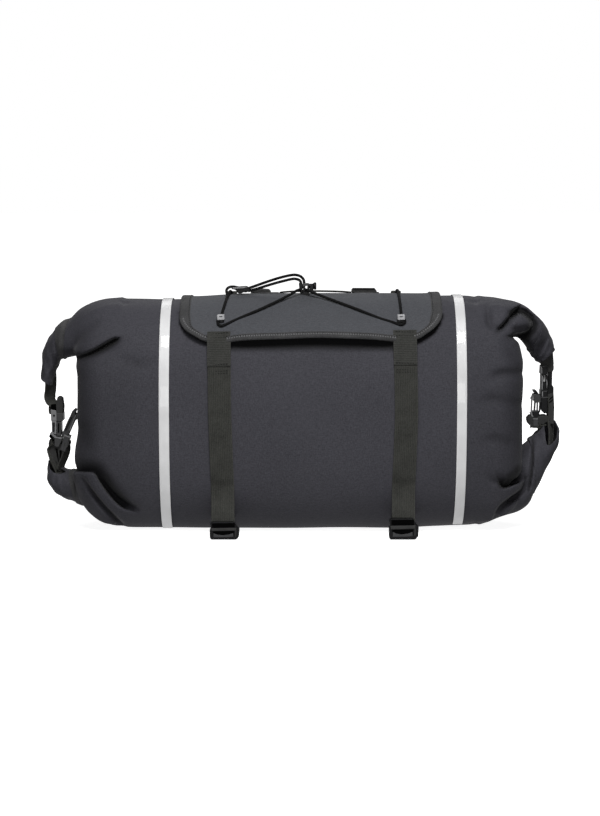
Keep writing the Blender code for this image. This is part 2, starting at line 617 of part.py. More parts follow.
# ---- side-release buckles of the end closures ----------------------------------------------
# Local axes: X across, Y along (towards the female half's webbing bar), Z thickness.
def male_half(name):
    w = 27.0
    outline = [(-w / 2, -12), (w / 2, -12), (w / 2, -0.6), (10.6, -0.4), (10.6, 9.0), (11.7, 10.0), (11.4, 12.6),
               (9.4, 14.4), (8.2, 12.6), (8.2, -0.2), (2.0, -0.2), (2.0, 12.0), (1.2, 13.2), (-1.2, 13.2),
               (-2.0, 12.0), (-2.0, -0.2), (-8.2, -0.2), (-8.2, 12.6), (-9.4, 14.4), (-11.4, 12.6),
               (-11.7, 10.0), (-10.6, 9.0), (-10.6, -0.4), (-w / 2, -0.6)]
    slot = round_rect(0, -8.0, 21.4, 4.0, 0.6, 1)[::-1]
    return finish(plate(name, [outline, slot], 3.8), PLASTIC, smooth=False)


def female_half(name):
    outline = round_rect(0, 12.0, 27.0, 24.0, 2.4)
    slot = round_rect(0, 20.0, 21.4, 4.0, 0.6, 1)[::-1]
    body = finish(plate(name, [outline, slot], 7.0), PLASTIC, smooth=False)
    cavity = cutter(box(name + "_cavity", (21.6, 18.0, 4.6), (0, 7.0, 0)))
    window = cutter(box(name + "_window", (30.0, 6.4, 4.5), (0, 11.0, 0)))
    boolean(body, cavity)
    boolean(body, window)
    return body, [cavity, window]


def place_female(parts, *where):
    body, tools = parts
    for piece in [body] + tools:
        place(piece, *where)


def tab(name, points, count, across=(0, 1, 0), width=CLOSURE_WEB, thick=WEB_T):
    return webbing(name, smooth_path(points, count), width, thick, across)


# fastened pair at each end; across and along are unit directions, origin is where the halves meet
PAIRS = {
    "left": dict(origin=(-268.0, 0, 104.0), along=(-0.045, 0.06, 1.0), across=(0.224, 0.911, -0.348)),
    "right": dict(origin=(271.6, 0, 150.0), along=(0.0, 0.05, 1.0), across=(0.22, 0.93, -0.28)),
}
LOOSE = {
    "left": dict(origin=(-255.2, 0, 101.0), along=(0.33, 0.0, 0.944), across=(0.16, 0.97, -0.10)),
    "right": dict(origin=(258.6, 0, 149.0), along=(0.03, 0.0, -1.0), across=(-0.15, -0.98, 0.0)),
}


def local(spec, across, along, thick):
    y = Vector(spec["along"]).normalized()
    x = Vector(spec["across"])
    x = (x - x.dot(y) * y).normalized()
    z = x.cross(y)
    return Vector(spec["origin"]) + x * across + y * along + z * thick


def cross_dir(spec):
    y = Vector(spec["along"]).normalized()
    x = Vector(spec["across"])
    return (x - x.dot(y) * y).normalized()


for side, spec in PAIRS.items():
    place(male_half(f"buckle_male_{side}"), spec["origin"], spec["across"], spec["along"])
    place_female(female_half(f"buckle_female_{side}"), spec["origin"], spec["across"], spec["along"])
place(male_half("loose_buckle_left"), LOOSE["left"]["origin"], LOOSE["left"]["across"], LOOSE["left"]["along"])
place_female(female_half("loose_buckle_right"), LOOSE["right"]["origin"], LOOSE["right"]["across"], LOOSE["right"]["along"])


def around_bar(spec, bar, sign, half):
    """Points that take a strap past a bar, through the slot at `bar` and back on the other side."""
    r = half + 0.35 + WEB_T / 2
    return [local(spec, 0, bar + sign * 5.2, r), local(spec, 0, bar + sign * 0.9, r),
            local(spec, 0, bar + sign * 0.1, r * 0.72), local(spec, 0, bar - sign * 0.15, r * 0.3),
            local(spec, 0, bar - sign * 0.15, -r * 0.3), local(spec, 0, bar + sign * 0.1, -r * 0.72),
            local(spec, 0, bar + sign * 0.9, -r), local(spec, 0, bar + sign * 5.2, -r)]


def closure_tab(name, spec, bar, sign, half, mouth, tail):
    """Webbing from a sleeve's mouth, round a buckle's bar and back along itself."""
    lead = smooth_path(mouth + [tuple(local(spec, 0, bar + sign * 5.2, half + 0.35 + WEB_T / 2))], 9)[:-1]
    path = lead + around_bar(spec, bar, sign, half) + [local(spec, 0, *tail)]
    cross = cross_dir(spec)
    dirs = [Vector((0, 1, 0)).lerp(cross, smoothstep(k / 8.0, 0.3, 1.0)) for k in range(len(path))]
    return webbing(name, path, CLOSURE_WEB, WEB_T, dirs)


closure_tab("closure_tab_top_left", PAIRS["left"], 20.0, 1, 3.5,
            [(-275.6, 0, 168), (-276.2, 0, 158), (-277.0, 0, 149), (-276.2, 0, 139)], (31.0, -3.2))
closure_tab("closure_tab_bottom_left", PAIRS["left"], -8.0, -1, 1.9,
            [(-271.6, 0, 62), (-272.8, 0, 70), (-274.4, 0, 78), (-273.0, 0, 86)], (-14.6, -2.6))
closure_tab("closure_tab_top_right", PAIRS["right"], 20.0, 1, 3.5,
            [(270.2, 0, 193), (271.6, 0, 188), (275.5, 0, 185), (277.4, 0, 181)], (27.6, -4.0))
closure_tab("closure_tab_bottom_right", PAIRS["right"], -8.0, -1, 1.9,
            [(274.2, 0, 104), (275.2, 0, 113), (276.6, 0, 121), (276.2, 0, 130)], (-17.0, -2.0))

# loose halves stand on their own webbing, sewn to the outside of the lower sleeves
closure_tab("loose_tab_left", LOOSE["left"], -8.0, -1, 1.9,
            [(-255.6, 0, 63.6), (-259.4, 0, 69.0), (-262.4, 0, 75.0), (-262.6, 0, 81.0)], (-15.5, -2.2))
closure_tab("loose_tab_right", LOOSE["right"], 20.0, 1, 3.5,
            [(262.4, 0, 110.5), (257.0, 0, 108.8), (251.6, 0, 110.5), (250.6, 0, 116.5)], (27.0, -3.4))

# ---- handlebar straps at the rear -----------------------------------------------------------
BAR_Y, BAR_Z = 113.0, 197.0
loop_r = BAR_R + 0.6 + WEB_T / 2
for side, x in BAR_STRAP_X.items():
    sewn = [skin(x, s, 1.1) for s in (-176, -160, -144, -130)]
    seat = [Vector((x, BAR_Y - 9, BAR_Z - loop_r)), Vector((x, BAR_Y, BAR_Z - loop_r)), Vector((x, BAR_Y + 7, BAR_Z - loop_r))]
    back = [Vector((x, BAR_Y + loop_r * math.sin(a), BAR_Z - loop_r * math.cos(a)))
            for a in [math.radians(v) for v in (48, 68, 88, 108, 128, 148, 168)]]
    over = [Vector((x, BAR_Y - 8, BAR_Z + loop_r + 1.5)), Vector((x, BAR_Y - 20, BAR_Z + loop_r + 6)), skin(x, -72, 6.6),
            skin(x, -62, 6.4), skin(x, -50, 6.9)]
    path = sewn + [Vector((x, 96.0, BAR_Z - loop_r + 2.2))] + seat + back + over
    webbing(f"handlebar_strap_{side}", path, WEB, WEB_T)
    buckle = lock_plate(f"handlebar_buckle_{side}", 29.6, 15.0, 3.4, [(2.4, 5.4), (8.0, 12.2)])
    lift = TOP_OF_FLAP + 3.2
    up = (skin(x, -24, lift) - skin(x, -40, lift)).normalized()
    place(buckle, skin(x, -45.4, lift + 0.6), (1, 0, 0), up)

web_rows = [(-22.6, 5.9), (-18, 7.0), (-6, 8.3), (12, 8.8), (30, 8.5), (48, 7.3), (56.8, 5.9)]
path = [skin(x, -33.0, lift) for x, lift in web_rows]
across = [skin(x, -36.0, 5) - skin(x, -30.0, 5) for x, lift in web_rows]
webbing("rear_web_strap", path, 18.0, 1.6, across)
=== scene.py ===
"""Looks of the roll-end handlebar bag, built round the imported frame.

Tables are in millimetres in the drawing frame (X right, Y to the rear, Z up); SHIFT_Y carries
them to the row frame. Fold tables are given on the photograph's picture plane and are carved
into the cloth's front along the viewing direction.
"""

import math

import bmesh
import bpy
import numpy as np
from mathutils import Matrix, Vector

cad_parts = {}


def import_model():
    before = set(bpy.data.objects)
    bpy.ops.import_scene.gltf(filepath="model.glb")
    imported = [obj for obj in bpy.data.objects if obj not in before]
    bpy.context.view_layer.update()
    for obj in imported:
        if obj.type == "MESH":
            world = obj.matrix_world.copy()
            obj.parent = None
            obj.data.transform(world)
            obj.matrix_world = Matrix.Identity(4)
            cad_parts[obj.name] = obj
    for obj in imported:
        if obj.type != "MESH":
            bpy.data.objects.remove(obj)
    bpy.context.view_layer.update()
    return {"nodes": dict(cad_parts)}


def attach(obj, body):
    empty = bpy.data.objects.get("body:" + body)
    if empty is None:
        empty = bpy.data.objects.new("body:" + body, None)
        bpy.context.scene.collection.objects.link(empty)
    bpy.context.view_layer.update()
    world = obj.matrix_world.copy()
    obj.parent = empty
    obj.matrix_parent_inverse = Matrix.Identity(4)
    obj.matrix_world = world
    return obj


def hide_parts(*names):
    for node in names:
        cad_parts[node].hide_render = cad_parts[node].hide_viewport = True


MM = 0.001
SHIFT_Y = -13.6
F32 = np.float32

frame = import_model()
nodes = frame["nodes"]
scene = bpy.context.scene
RNG = np.random.default_rng(7)

# ---- camera ---------------------------------------------------------------------------------
CAM_DIST, CAM_ELEV, CAM_F = 2300.0, math.radians(6.0), 2091.0
AIM = np.array([0.0, 0.0, 129.5])


def world(p):
    """Drawing frame in mm to the row frame in metres."""
    p = np.asarray(p, float)
    return (p + np.array([0.0, SHIFT_Y, 0.0])) * MM


cam_data = bpy.data.cameras.new("camera")
cam_data.sensor_width = 36.0
cam_data.lens = CAM_F * 36.0 / 816.0
cam_data.clip_end = 60
camera = bpy.data.objects.new("camera", cam_data)
scene.collection.objects.link(camera)
back = Vector((0, -math.cos(CAM_ELEV), math.sin(CAM_ELEV)))
camera.location = Vector(world(AIM)) + back * CAM_DIST * MM
camera.rotation_mode = "QUATERNION"
camera.rotation_quaternion = (-back).to_track_quat("-Z", "Y")
scene.camera = camera


def picture(x, y, z):
    """Picture plane position of points, in px of the 600 x 816 photograph."""
    dz = z - 129.5
    depth = CAM_DIST + y * math.cos(CAM_ELEV) - dz * math.sin(CAM_ELEV)
    up = y * math.sin(CAM_ELEV) + dz * math.cos(CAM_ELEV)
    return 300.0 + CAM_F * x / depth, 408.0 - CAM_F * up / depth


def unpicture(px, py, y):
    """The point of the drawing frame that is seen at (px, py) and lies at depth y."""
    a, b = (px - 300.0) / CAM_F, (408.0 - py) / CAM_F
    ce, se = math.cos(CAM_ELEV), math.sin(CAM_ELEV)
    dz = (b * (CAM_DIST + y * ce) - y * se) / (ce + b * se)
    return np.array([a * (CAM_DIST + y * ce - dz * se), y, 129.5 + dz])


# ---- the bag's skin -------------------------------------------------------------------------
POWER = 2.4
WALL_LEFT, WALL_RIGHT = -241.0, 239.0
BODY = np.array([
    (-213, 84, 250.0, -1.5), (-180, 87, 251.6, -3.0), (-144, 88, 252.0, -3.0), (-60, 91, 253.0, -3.0),
    (12, 92, 253.4, -3.0), (85, 91, 253.4, -3.0), (171, 88, 253.0, -2.0), (211, 83, 250.5, 1.0)], float)
_x = np.arange(-300.0, 301.0)
_kernel = np.exp(-0.5 * (np.arange(-36, 37) / 12.0) ** 2)
_kernel /= _kernel.sum()
DIMS = [np.convolve(np.pad(np.interp(_x, BODY[:, 0], BODY[:, k]), 36, "edge"), _kernel, "valid") for k in (1, 2, 3)]


# small corrections of the top and bottom lines. Columns: x, dz
TOP_TRIM = np.array([(-225, 0), (-205, -0.6), (-190, -1.6), (-172, -2.2), (-155, -2.9), (-138, -3.1), (-121, -2.8), (-100, -1.9), (-66, 0)])
LOW_TRIM = np.array([(-252, 0), (-238, 4.0), (-226, 3.2), (-212, 0), (110, 0), (140, 2.2), (165, 3.0), (190, 2.4), (206, 0.4), (215, 0)])


def dims(x):
    half_y, top, bottom = [np.interp(x, _x, d) for d in DIMS]
    return [half_y, top + np.interp(x, TOP_TRIM[:, 0], TOP_TRIM[:, 1]), bottom + np.interp(x, LOW_TRIM[:, 0], LOW_TRIM[:, 1])]


_rings = {}


def ring_at(x):
    key = round(float(x) * 2) / 2
    if key not in _rings:
        half_y, top, bottom = dims(key)
        a = math.pi / 2 - 2 * math.pi * np.arange(721) / 720
        c, s = np.cos(a), np.sin(a)
        y = -half_y * np.sign(c) * np.abs(c) ** (2 / POWER)
        z = (top + bottom) / 2 + (top - bottom) / 2 * np.sign(s) * np.abs(s) ** (2 / POWER)
        z = np.maximum(z, 0.0)
        run = np.concatenate([[0], np.cumsum(np.hypot(np.diff(y), np.diff(z)))])
        _rings[key] = (y, z, run)
    return _rings[key]


def skin(x, s, lift=0.0):
    """Point on the skin at x and arc length s from the top line (front positive), raised by lift."""
    y, z, run = ring_at(x)
    total = run[-1]

    def at(v):
        v = v % total
        return np.array([np.interp(v, run, y), np.interp(v, run, z)])

    along = at(s + 1.5) - at(s - 1.5)
    normal = np.array([along[1], -along[0]]) / np.hypot(*along)
    p = at(s) + normal * lift
    return np.array([x, p[0], p[1]])


def smooth_path(points, step=None, count=None):
    """Catmull-Rom through the points, evenly spaced."""
    pts = [np.array(p, float) for p in points]
    pts = [2 * pts[0] - pts[1]] + pts + [2 * pts[-1] - pts[-2]]
    dense = []
    for i in range(1, len(pts) - 2):
        a, b, c, d = pts[i - 1:i + 3]
        for t in np.linspace(0, 1, 20, endpoint=False):
            dense.append(0.5 * (2 * b + (c - a) * t + (2 * a - 5 * b + 4 * c - d) * t * t
                                + (3 * b - a - 3 * c + d) * t ** 3))
    dense.append(pts[-2])
    dense = np.array(dense)
    run = np.concatenate([[0], np.cumsum(np.linalg.norm(np.diff(dense, axis=0), axis=1))])
    if count is None:
        count = max(2, int(run[-1] / step) + 1)
    at = np.linspace(0, run[-1], count)
    return np.stack([np.interp(at, run, dense[:, k]) for k in range(dense.shape[1])], 1)


def smoothstep(v, low, high):
    t = np.clip((v - low) / (high - low), 0.0, 1.0)
    return t * t * (3 - 2 * t)


# ---- meshes ---------------------------------------------------------------------------------
def mesh_object(name, verts, faces, smooth=True, coords=None, sharp=None):
    """Mesh from points in the drawing frame (mm). coords is a per-point (a, b, c) kept as "cloth"."""
    me = bpy.data.meshes.new(name)
    verts = world(verts)
    faces = np.asarray(faces, np.int32)
    me.vertices.add(len(verts))
    me.vertices.foreach_set("co", verts.astype(F32).ravel())
    n = faces.shape[1]
    me.loops.add(len(faces) * n)
    me.loops.foreach_set("vertex_index", faces.ravel())
    me.polygons.add(len(faces))
    me.polygons.foreach_set("loop_start", np.arange(0, len(faces) * n, n, dtype=np.int32))
    me.update(calc_edges=True)
    me.validate()
    me.polygons.foreach_set("use_smooth", np.full(len(me.polygons), smooth))
    if coords is not None:
        attribute = me.attributes.new("cloth", "FLOAT_VECTOR", "POINT")
        attribute.data.foreach_set("vector", np.asarray(coords, F32).ravel())
    if sharp is not None:
        me.set_sharp_from_angle(angle=math.radians(sharp))
    ob = bpy.data.objects.new(name, me)
    scene.collection.objects.link(ob)
    return ob


def outward(ob):
    bm = bmesh.new()
    bm.from_mesh(ob.data)
    bmesh.ops.recalc_face_normals(bm, faces=bm.faces)
    bm.to_mesh(ob.data)
    bm.free()
    return ob


class Pile:
    """Collects points and faces of several pieces of one mesh."""

    def __init__(self):
        self.v, self.f, self.c, self.n = [], [], [], 0

    def add(self, verts, faces, coords=None):
        verts = np.asarray(verts, float)
        self.v.append(verts)
        self.f.append(np.asarray(faces, np.int64) + self.n)
        self.c.append(np.zeros((len(verts), 3)) if coords is None else np.asarray(coords, float))
        self.n += len(verts)

    def object(self, name, **how):
        return mesh_object(name, np.concatenate(self.v), np.concatenate(self.f), coords=np.concatenate(self.c), **how)


def grid_faces(rows, cols, wrap=False):
    i = np.arange(rows - 1)[:, None]
    j = np.arange(cols if wrap else cols - 1)[None, :]
    a = i * cols + j
    b = i * cols + (j + 1) % cols
    return np.stack([a, b, b + cols, a + cols], -1).reshape(-1, 4)


def sweep(path, across, profile, closed_ends=True, scale=None, lift=None):
    """Rings of `profile` (u across, w along the normal) along the path. Returns verts, faces, coords."""
    path = np.asarray(path, float)
    n = len(path)
    ahead = np.gradient(path, axis=0)
    ahead /= np.linalg.norm(ahead, axis=1)[:, None]
    across = np.broadcast_to(np.asarray(across, float), (n, 3)).copy()
    across -= (across * ahead).sum(1)[:, None] * ahead
    across /= np.linalg.norm(across, axis=1)[:, None]
    normal = np.cross(ahead, across)
    run = np.concatenate([[0], np.cumsum(np.linalg.norm(np.diff(path, axis=0), axis=1))])
    profile = np.asarray(profile, float)
    m = len(profile)
    k = np.ones(n) if scale is None else np.asarray(scale, float)
    verts = (path[:, None, :] + across[:, None, :] * (profile[None, :, 0:1] * k[:, None, None])
             + normal[:, None, :] * (profile[None, :, 1:2] * k[:, None, None]))
    coords = np.stack([np.broadcast_to(profile[None, :, 0], (n, m)), np.broadcast_to(run[:, None], (n, m)),
                       np.broadcast_to(profile[None, :, 1], (n, m))], -1)
    verts, coords = verts.reshape(-1, 3), coords.reshape(-1, 3)
    faces = grid_faces(n, m, wrap=True)
    if closed_ends:
        for row, flip in ((0, False), (n - 1, True)):
            centre = verts[row * m:(row + 1) * m].mean(0)
            verts = np.vstack([verts, centre])
            coords = np.vstack([coords, [0, run[row if row else 0], 0]])
            c = len(verts) - 1
            j = np.arange(0, m, 2)
            ring = row * m
            quad = np.stack([np.full(len(j), c), ring + (j + 2) % m, ring + (j + 1) % m, ring + j], 1)
            faces = np.vstack([faces, quad if not flip else quad[:, ::-1]])
    return verts, faces, coords


def strap_profile(width, thick, steps=9):
    """Flat webbing section with rounded selvedges; even number of points."""
    r = thick / 2
    side = [(width / 2 - r + r * math.cos(a), r * math.sin(a)) for a in np.radians([-60, -30, 0, 30, 60])]
    top = [(u, r) for u in np.linspace(width / 2 - r, -width / 2 + r, steps + 2)]
    left = [(-u, w) for u, w in side[::-1]]
    bottom = [(u, -r) for u in np.linspace(-width / 2 + r, width / 2 - r, steps + 2)]
    ring = side + top + left + bottom
    return ring if len(ring) % 2 == 0 else ring[:-1]


def tube_profile(radius, sides=12):
    return [(radius * math.cos(2 * math.pi * k / sides), radius * math.sin(2 * math.pi * k / sides)) for k in range(sides)]


# ---- surface of a field ---------------------------------------------------------------------
def surface_nets(xs, ys, zs, field):
    """Quads round the zero surface of a field that is negative inside."""
    inside = field < 0
    count = np.zeros(tuple(n - 1 for n in field.shape), np.int8)
    corner = [(i, j, k) for i in (0, 1) for j in (0, 1) for k in (0, 1)]
    nx, ny, nz = count.shape
    for i, j, k in corner:
        count += inside[i:i + nx, j:j + ny, k:k + nz]
    cell = np.argwhere((count > 0) & (count < 8))
    index = np.full(count.shape, -1, np.int32)
    index[tuple(cell.T)] = np.arange(len(cell))
    axes = (xs, ys, zs)
    value = {c: field[cell[:, 0] + c[0], cell[:, 1] + c[1], cell[:, 2] + c[2]] for c in corner}
    place = np.zeros((len(cell), 3))
    hits = np.zeros(len(cell))
    for a in corner:
        for axis in range(3):
            if a[axis]:
                continue
            b = tuple(1 if q == axis else a[q] for q in range(3))
            fa, fb = value[a], value[b]
            cut = (fa < 0) != (fb < 0)
            t = np.where(cut, fa / np.where(cut, fa - fb, 1.0), 0.0)
            for q in range(3):
                low = axes[q][cell[:, q] + a[q]]
                high = axes[q][cell[:, q] + b[q]]
                place[:, q] += np.where(cut, low + (high - low) * t, 0.0)
            hits += cut
    place /= hits[:, None]
    quads = []
    for axis in range(3):
        one = [slice(None)] * 3
        two = [slice(None)] * 3
        one[axis], two[axis] = slice(None, -1), slice(1, None)
        change = inside[tuple(one)] != inside[tuple(two)]
        first = inside[tuple(one)]
        p, q = [d for d in range(3) if d != axis]
        at = np.argwhere(change)
        keep = (at[:, p] > 0) & (at[:, q] > 0) & (at[:, p] < count.shape[p]) & (at[:, q] < count.shape[q])
        at = at[keep]
        start = first[tuple(at.T)]
        ring = []
        for dp, dq in ((-1, -1), (0, -1), (0, 0), (-1, 0)):
            c = at.copy()
            c[:, p] += dp
            c[:, q] += dq
            ring.append(index[tuple(c.T)])
        quad = np.stack(ring, 1)
        if axis == 1:
            start = ~start
        quad[~start] = quad[~start][:, ::-1]
        quads.append(quad[(quad >= 0).all(1)])
    return place, np.concatenate(quads)


def relax(verts, faces, rounds, amount=0.5):
    edges = np.concatenate([faces[:, [0, 1]], faces[:, [1, 2]], faces[:, [2, 3]], faces[:, [3, 0]]])
    edges = np.unique(np.sort(edges, 1), axis=0)
    degree = np.bincount(edges.ravel(), minlength=len(verts)).astype(float)
    for _ in range(rounds):
        total = np.zeros_like(verts)
        for k in range(3):
            total[:, k] = (np.bincount(edges[:, 0], verts[edges[:, 1], k], len(verts))
                           + np.bincount(edges[:, 1], verts[edges[:, 0], k], len(verts)))
        verts = verts + amount * (total / degree[:, None] - verts)
    return verts


# ---- rolled ends ----------------------------------------------------------------------------
# Sections of each sleeve from its root to its mouth. Columns: x and z of the outer edge, x and z
# of the inner edge, thickness in Y, y of the middle.
SLEEVES = {
    "top_left": [
        (-196, 249.5, -186, 210, 92, 0), (-208, 250, -198, 204, 100, 0), (-218, 248.5, -210, 199, 102, 0),
        (-229, 245, -223, 194, 98, 0), (-241, 238.5, -237, 189.5, 92, 0), (-252, 227.6, -250, 186.5, 82, 0),
        (-260, 224.5, -257, 185.0, 72, 0), (-268, 216, -261.0, 185.0, 62, 0), (-275.5, 206, -263.6, 180.5, 54, 0),
        (-281, 194, -266.6, 173, 46, 0), (-282.6, 178, -269.8, 164, 41, 0), (-283.8, 163.5, -272.6, 155, 37, 0)],
    "bottom_left": [
        (-186, 4, -184, 46, 78, 0), (-203, 2.5, -200, 54, 90, 0), (-215, 4.5, -216, 59, 92, 0),
        (-226, 12, -231, 60.5, 86, 0), (-238, 23, -244, 60, 76, 0), (-250, 28, -254, 60.5, 64, 0),
        (-260, 31.0, -261.5, 63, 56, 0), (-270, 38, -265.5, 66.5, 48, 0), (-277.6, 49, -267.0, 70, 42, 0),
        (-277.8, 61, -267.5, 74, 37, 0), (-277.2, 71.5, -268.0, 78, 32, 0)],
    "top_right": [
        (196, 252, 192, 210, 84, 0), (210, 251.5, 208, 205, 98, 0), (224, 249, 222, 205, 100, 0),
        (236, 246.5, 233, 208, 96, 0), (247, 241.5, 239, 207, 86, 0), (256, 234, 245, 201, 76, 0),
        (265, 225.4, 249.5, 194.5, 66, 0), (271, 214.4, 253.5, 188.5, 56, 0), (276, 203.5, 257.5, 183.5, 48, 0),
        (278.6, 194.5, 261.5, 180.5, 42, 0)],
    "bottom_right": [
        (198, 3.5, 190, 50, 78, 0), (212, 6.5, 205, 60, 92, 0), (226, 12, 219, 69, 92, 0),
        (240, 16.2, 231, 77.5, 84, 0), (251.4, 24.5, 240, 84, 76, 0), (259, 40.5, 246, 88.5, 66, 0),
        (267.5, 57.5, 252, 94, 58, 0), (276, 76, 257.5, 99, 50, 0), (283, 90, 262.5, 104, 44, 0),
        (284, 104, 266, 109.5, 38, 0), (280.5, 115, 269.5, 114.5, 34, 0)],
}
# The field's form of a sleeve ends at this section; the turned cuffs go on from there.
FORM_END = {"top_left": 6.7, "bottom_left": 4.75, "top_right": 6.5, "bottom_right": 6.0}


def sleeve_rows(where, per=9):
    rows = np.array(SLEEVES[where], float)
    n = len(rows)
    pts = np.vstack([2 * rows[0] - rows[1], rows, 2 * rows[-1] - rows[-2]])
    out, at = [], []
    for i in range(1, n):
        a, b, c, d = pts[i - 1:i + 3]
        for t in np.linspace(0, 1, per, endpoint=False):
            out.append(0.5 * (2 * b + (c - a) * t + (2 * a - 5 * b + 4 * c - d) * t * t
                              + (3 * b - a - 3 * c + d) * t ** 3))
            at.append(i - 1 + t)
    out.append(rows[-1])
    at.append(n - 1.0)
    return np.array(out), np.array(at)


def sleeve_field(where, x, y, z):
    """Distance-like field of one sleeve, closed at the section where its form ends."""
    rows, at = sleeve_rows(where)
    outer, inner = rows[:, 0:2], rows[:, 2:4]
    centre = (outer + inner) / 2
    half = np.linalg.norm(outer - inner, axis=1) / 2
    direction = (outer - inner) / (2 * half)[:, None]
    travel = np.gradient(centre, axis=0)
    perp = np.stack([-direction[:, 1], direction[:, 0]], 1)
    perp *= np.sign((perp * travel).sum(1))[:, None]
    best = np.full(x.shape, 1e9, F32)
    which = np.zeros(x.shape, np.int16)
    ahead = np.zeros(x.shape, F32)
    for j in range(len(rows)):
        dx, dz = x - centre[j, 0], z - centre[j, 1]
        along = dx * perp[j, 0] + dz * perp[j, 1]
        u = dx * direction[j, 0] + dz * direction[j, 1]
        cost = np.abs(along) + 1.5 * np.maximum(np.abs(u) - half[j] - 3, 0)
        better = cost < best
        best = np.where(better, cost, best)
        which = np.where(better, j, which)
        ahead = np.where(better, along, ahead)
    # refine between sections: the neighbour on the side the point lies on
    last = len(rows) - 1
    j = which
    other = np.clip(j + np.sign(ahead).astype(np.int16), 0, last)
    cj, dj, hj = centre[j], direction[j], half[j]
    along_other = (x - centre[other, 0]) * perp[other, 0] + (z - centre[other, 1]) * perp[other, 1]
    mix = np.clip(np.abs(ahead) / (np.abs(ahead) + np.abs(along_other) + 1e-6), 0, 1)
    mix = np.where(other == j, 0, mix)[..., None]
    c = cj * (1 - mix) + centre[other] * mix
    d = dj * (1 - mix) + direction[other] * mix
    d /= np.linalg.norm(d, axis=-1)[..., None]
    mix = mix[..., 0]
    hw = hj * (1 - mix) + half[other] * mix
    hd = (rows[j, 4] * (1 - mix) + rows[other, 4] * mix) / 2
    yy = y - (rows[j, 5] * (1 - mix) + rows[other, 5] * mix)
    t = at[j] * (1 - mix) + at[other] * mix
    u = (x - c[..., 0]) * d[..., 0] + (z - c[..., 1]) * d[..., 1]
    aw, ad = np.maximum(hw, 2.0), np.maximum(hd, 2.0)
    q, r = np.abs(u / aw), np.abs(yy / ad)
    p = 2.5
    rho = np.maximum((q ** p + r ** p) ** (1 / p), 0.05)
    grad = np.sqrt((q ** (p - 1) / aw) ** 2 + (r ** (p - 1) / ad) ** 2) * rho ** (1 - p)
    f = (rho - 1) / np.maximum(grad, 1e-4)
    end = (t - FORM_END[where]) * 9.0
    f = np.maximum(f, np.maximum(end, np.where(j == last, ahead, -40.0)))
    f = np.maximum(f, np.where(j == 0, -ahead, -40.0))
    return f.astype(F32), t.astype(F32)
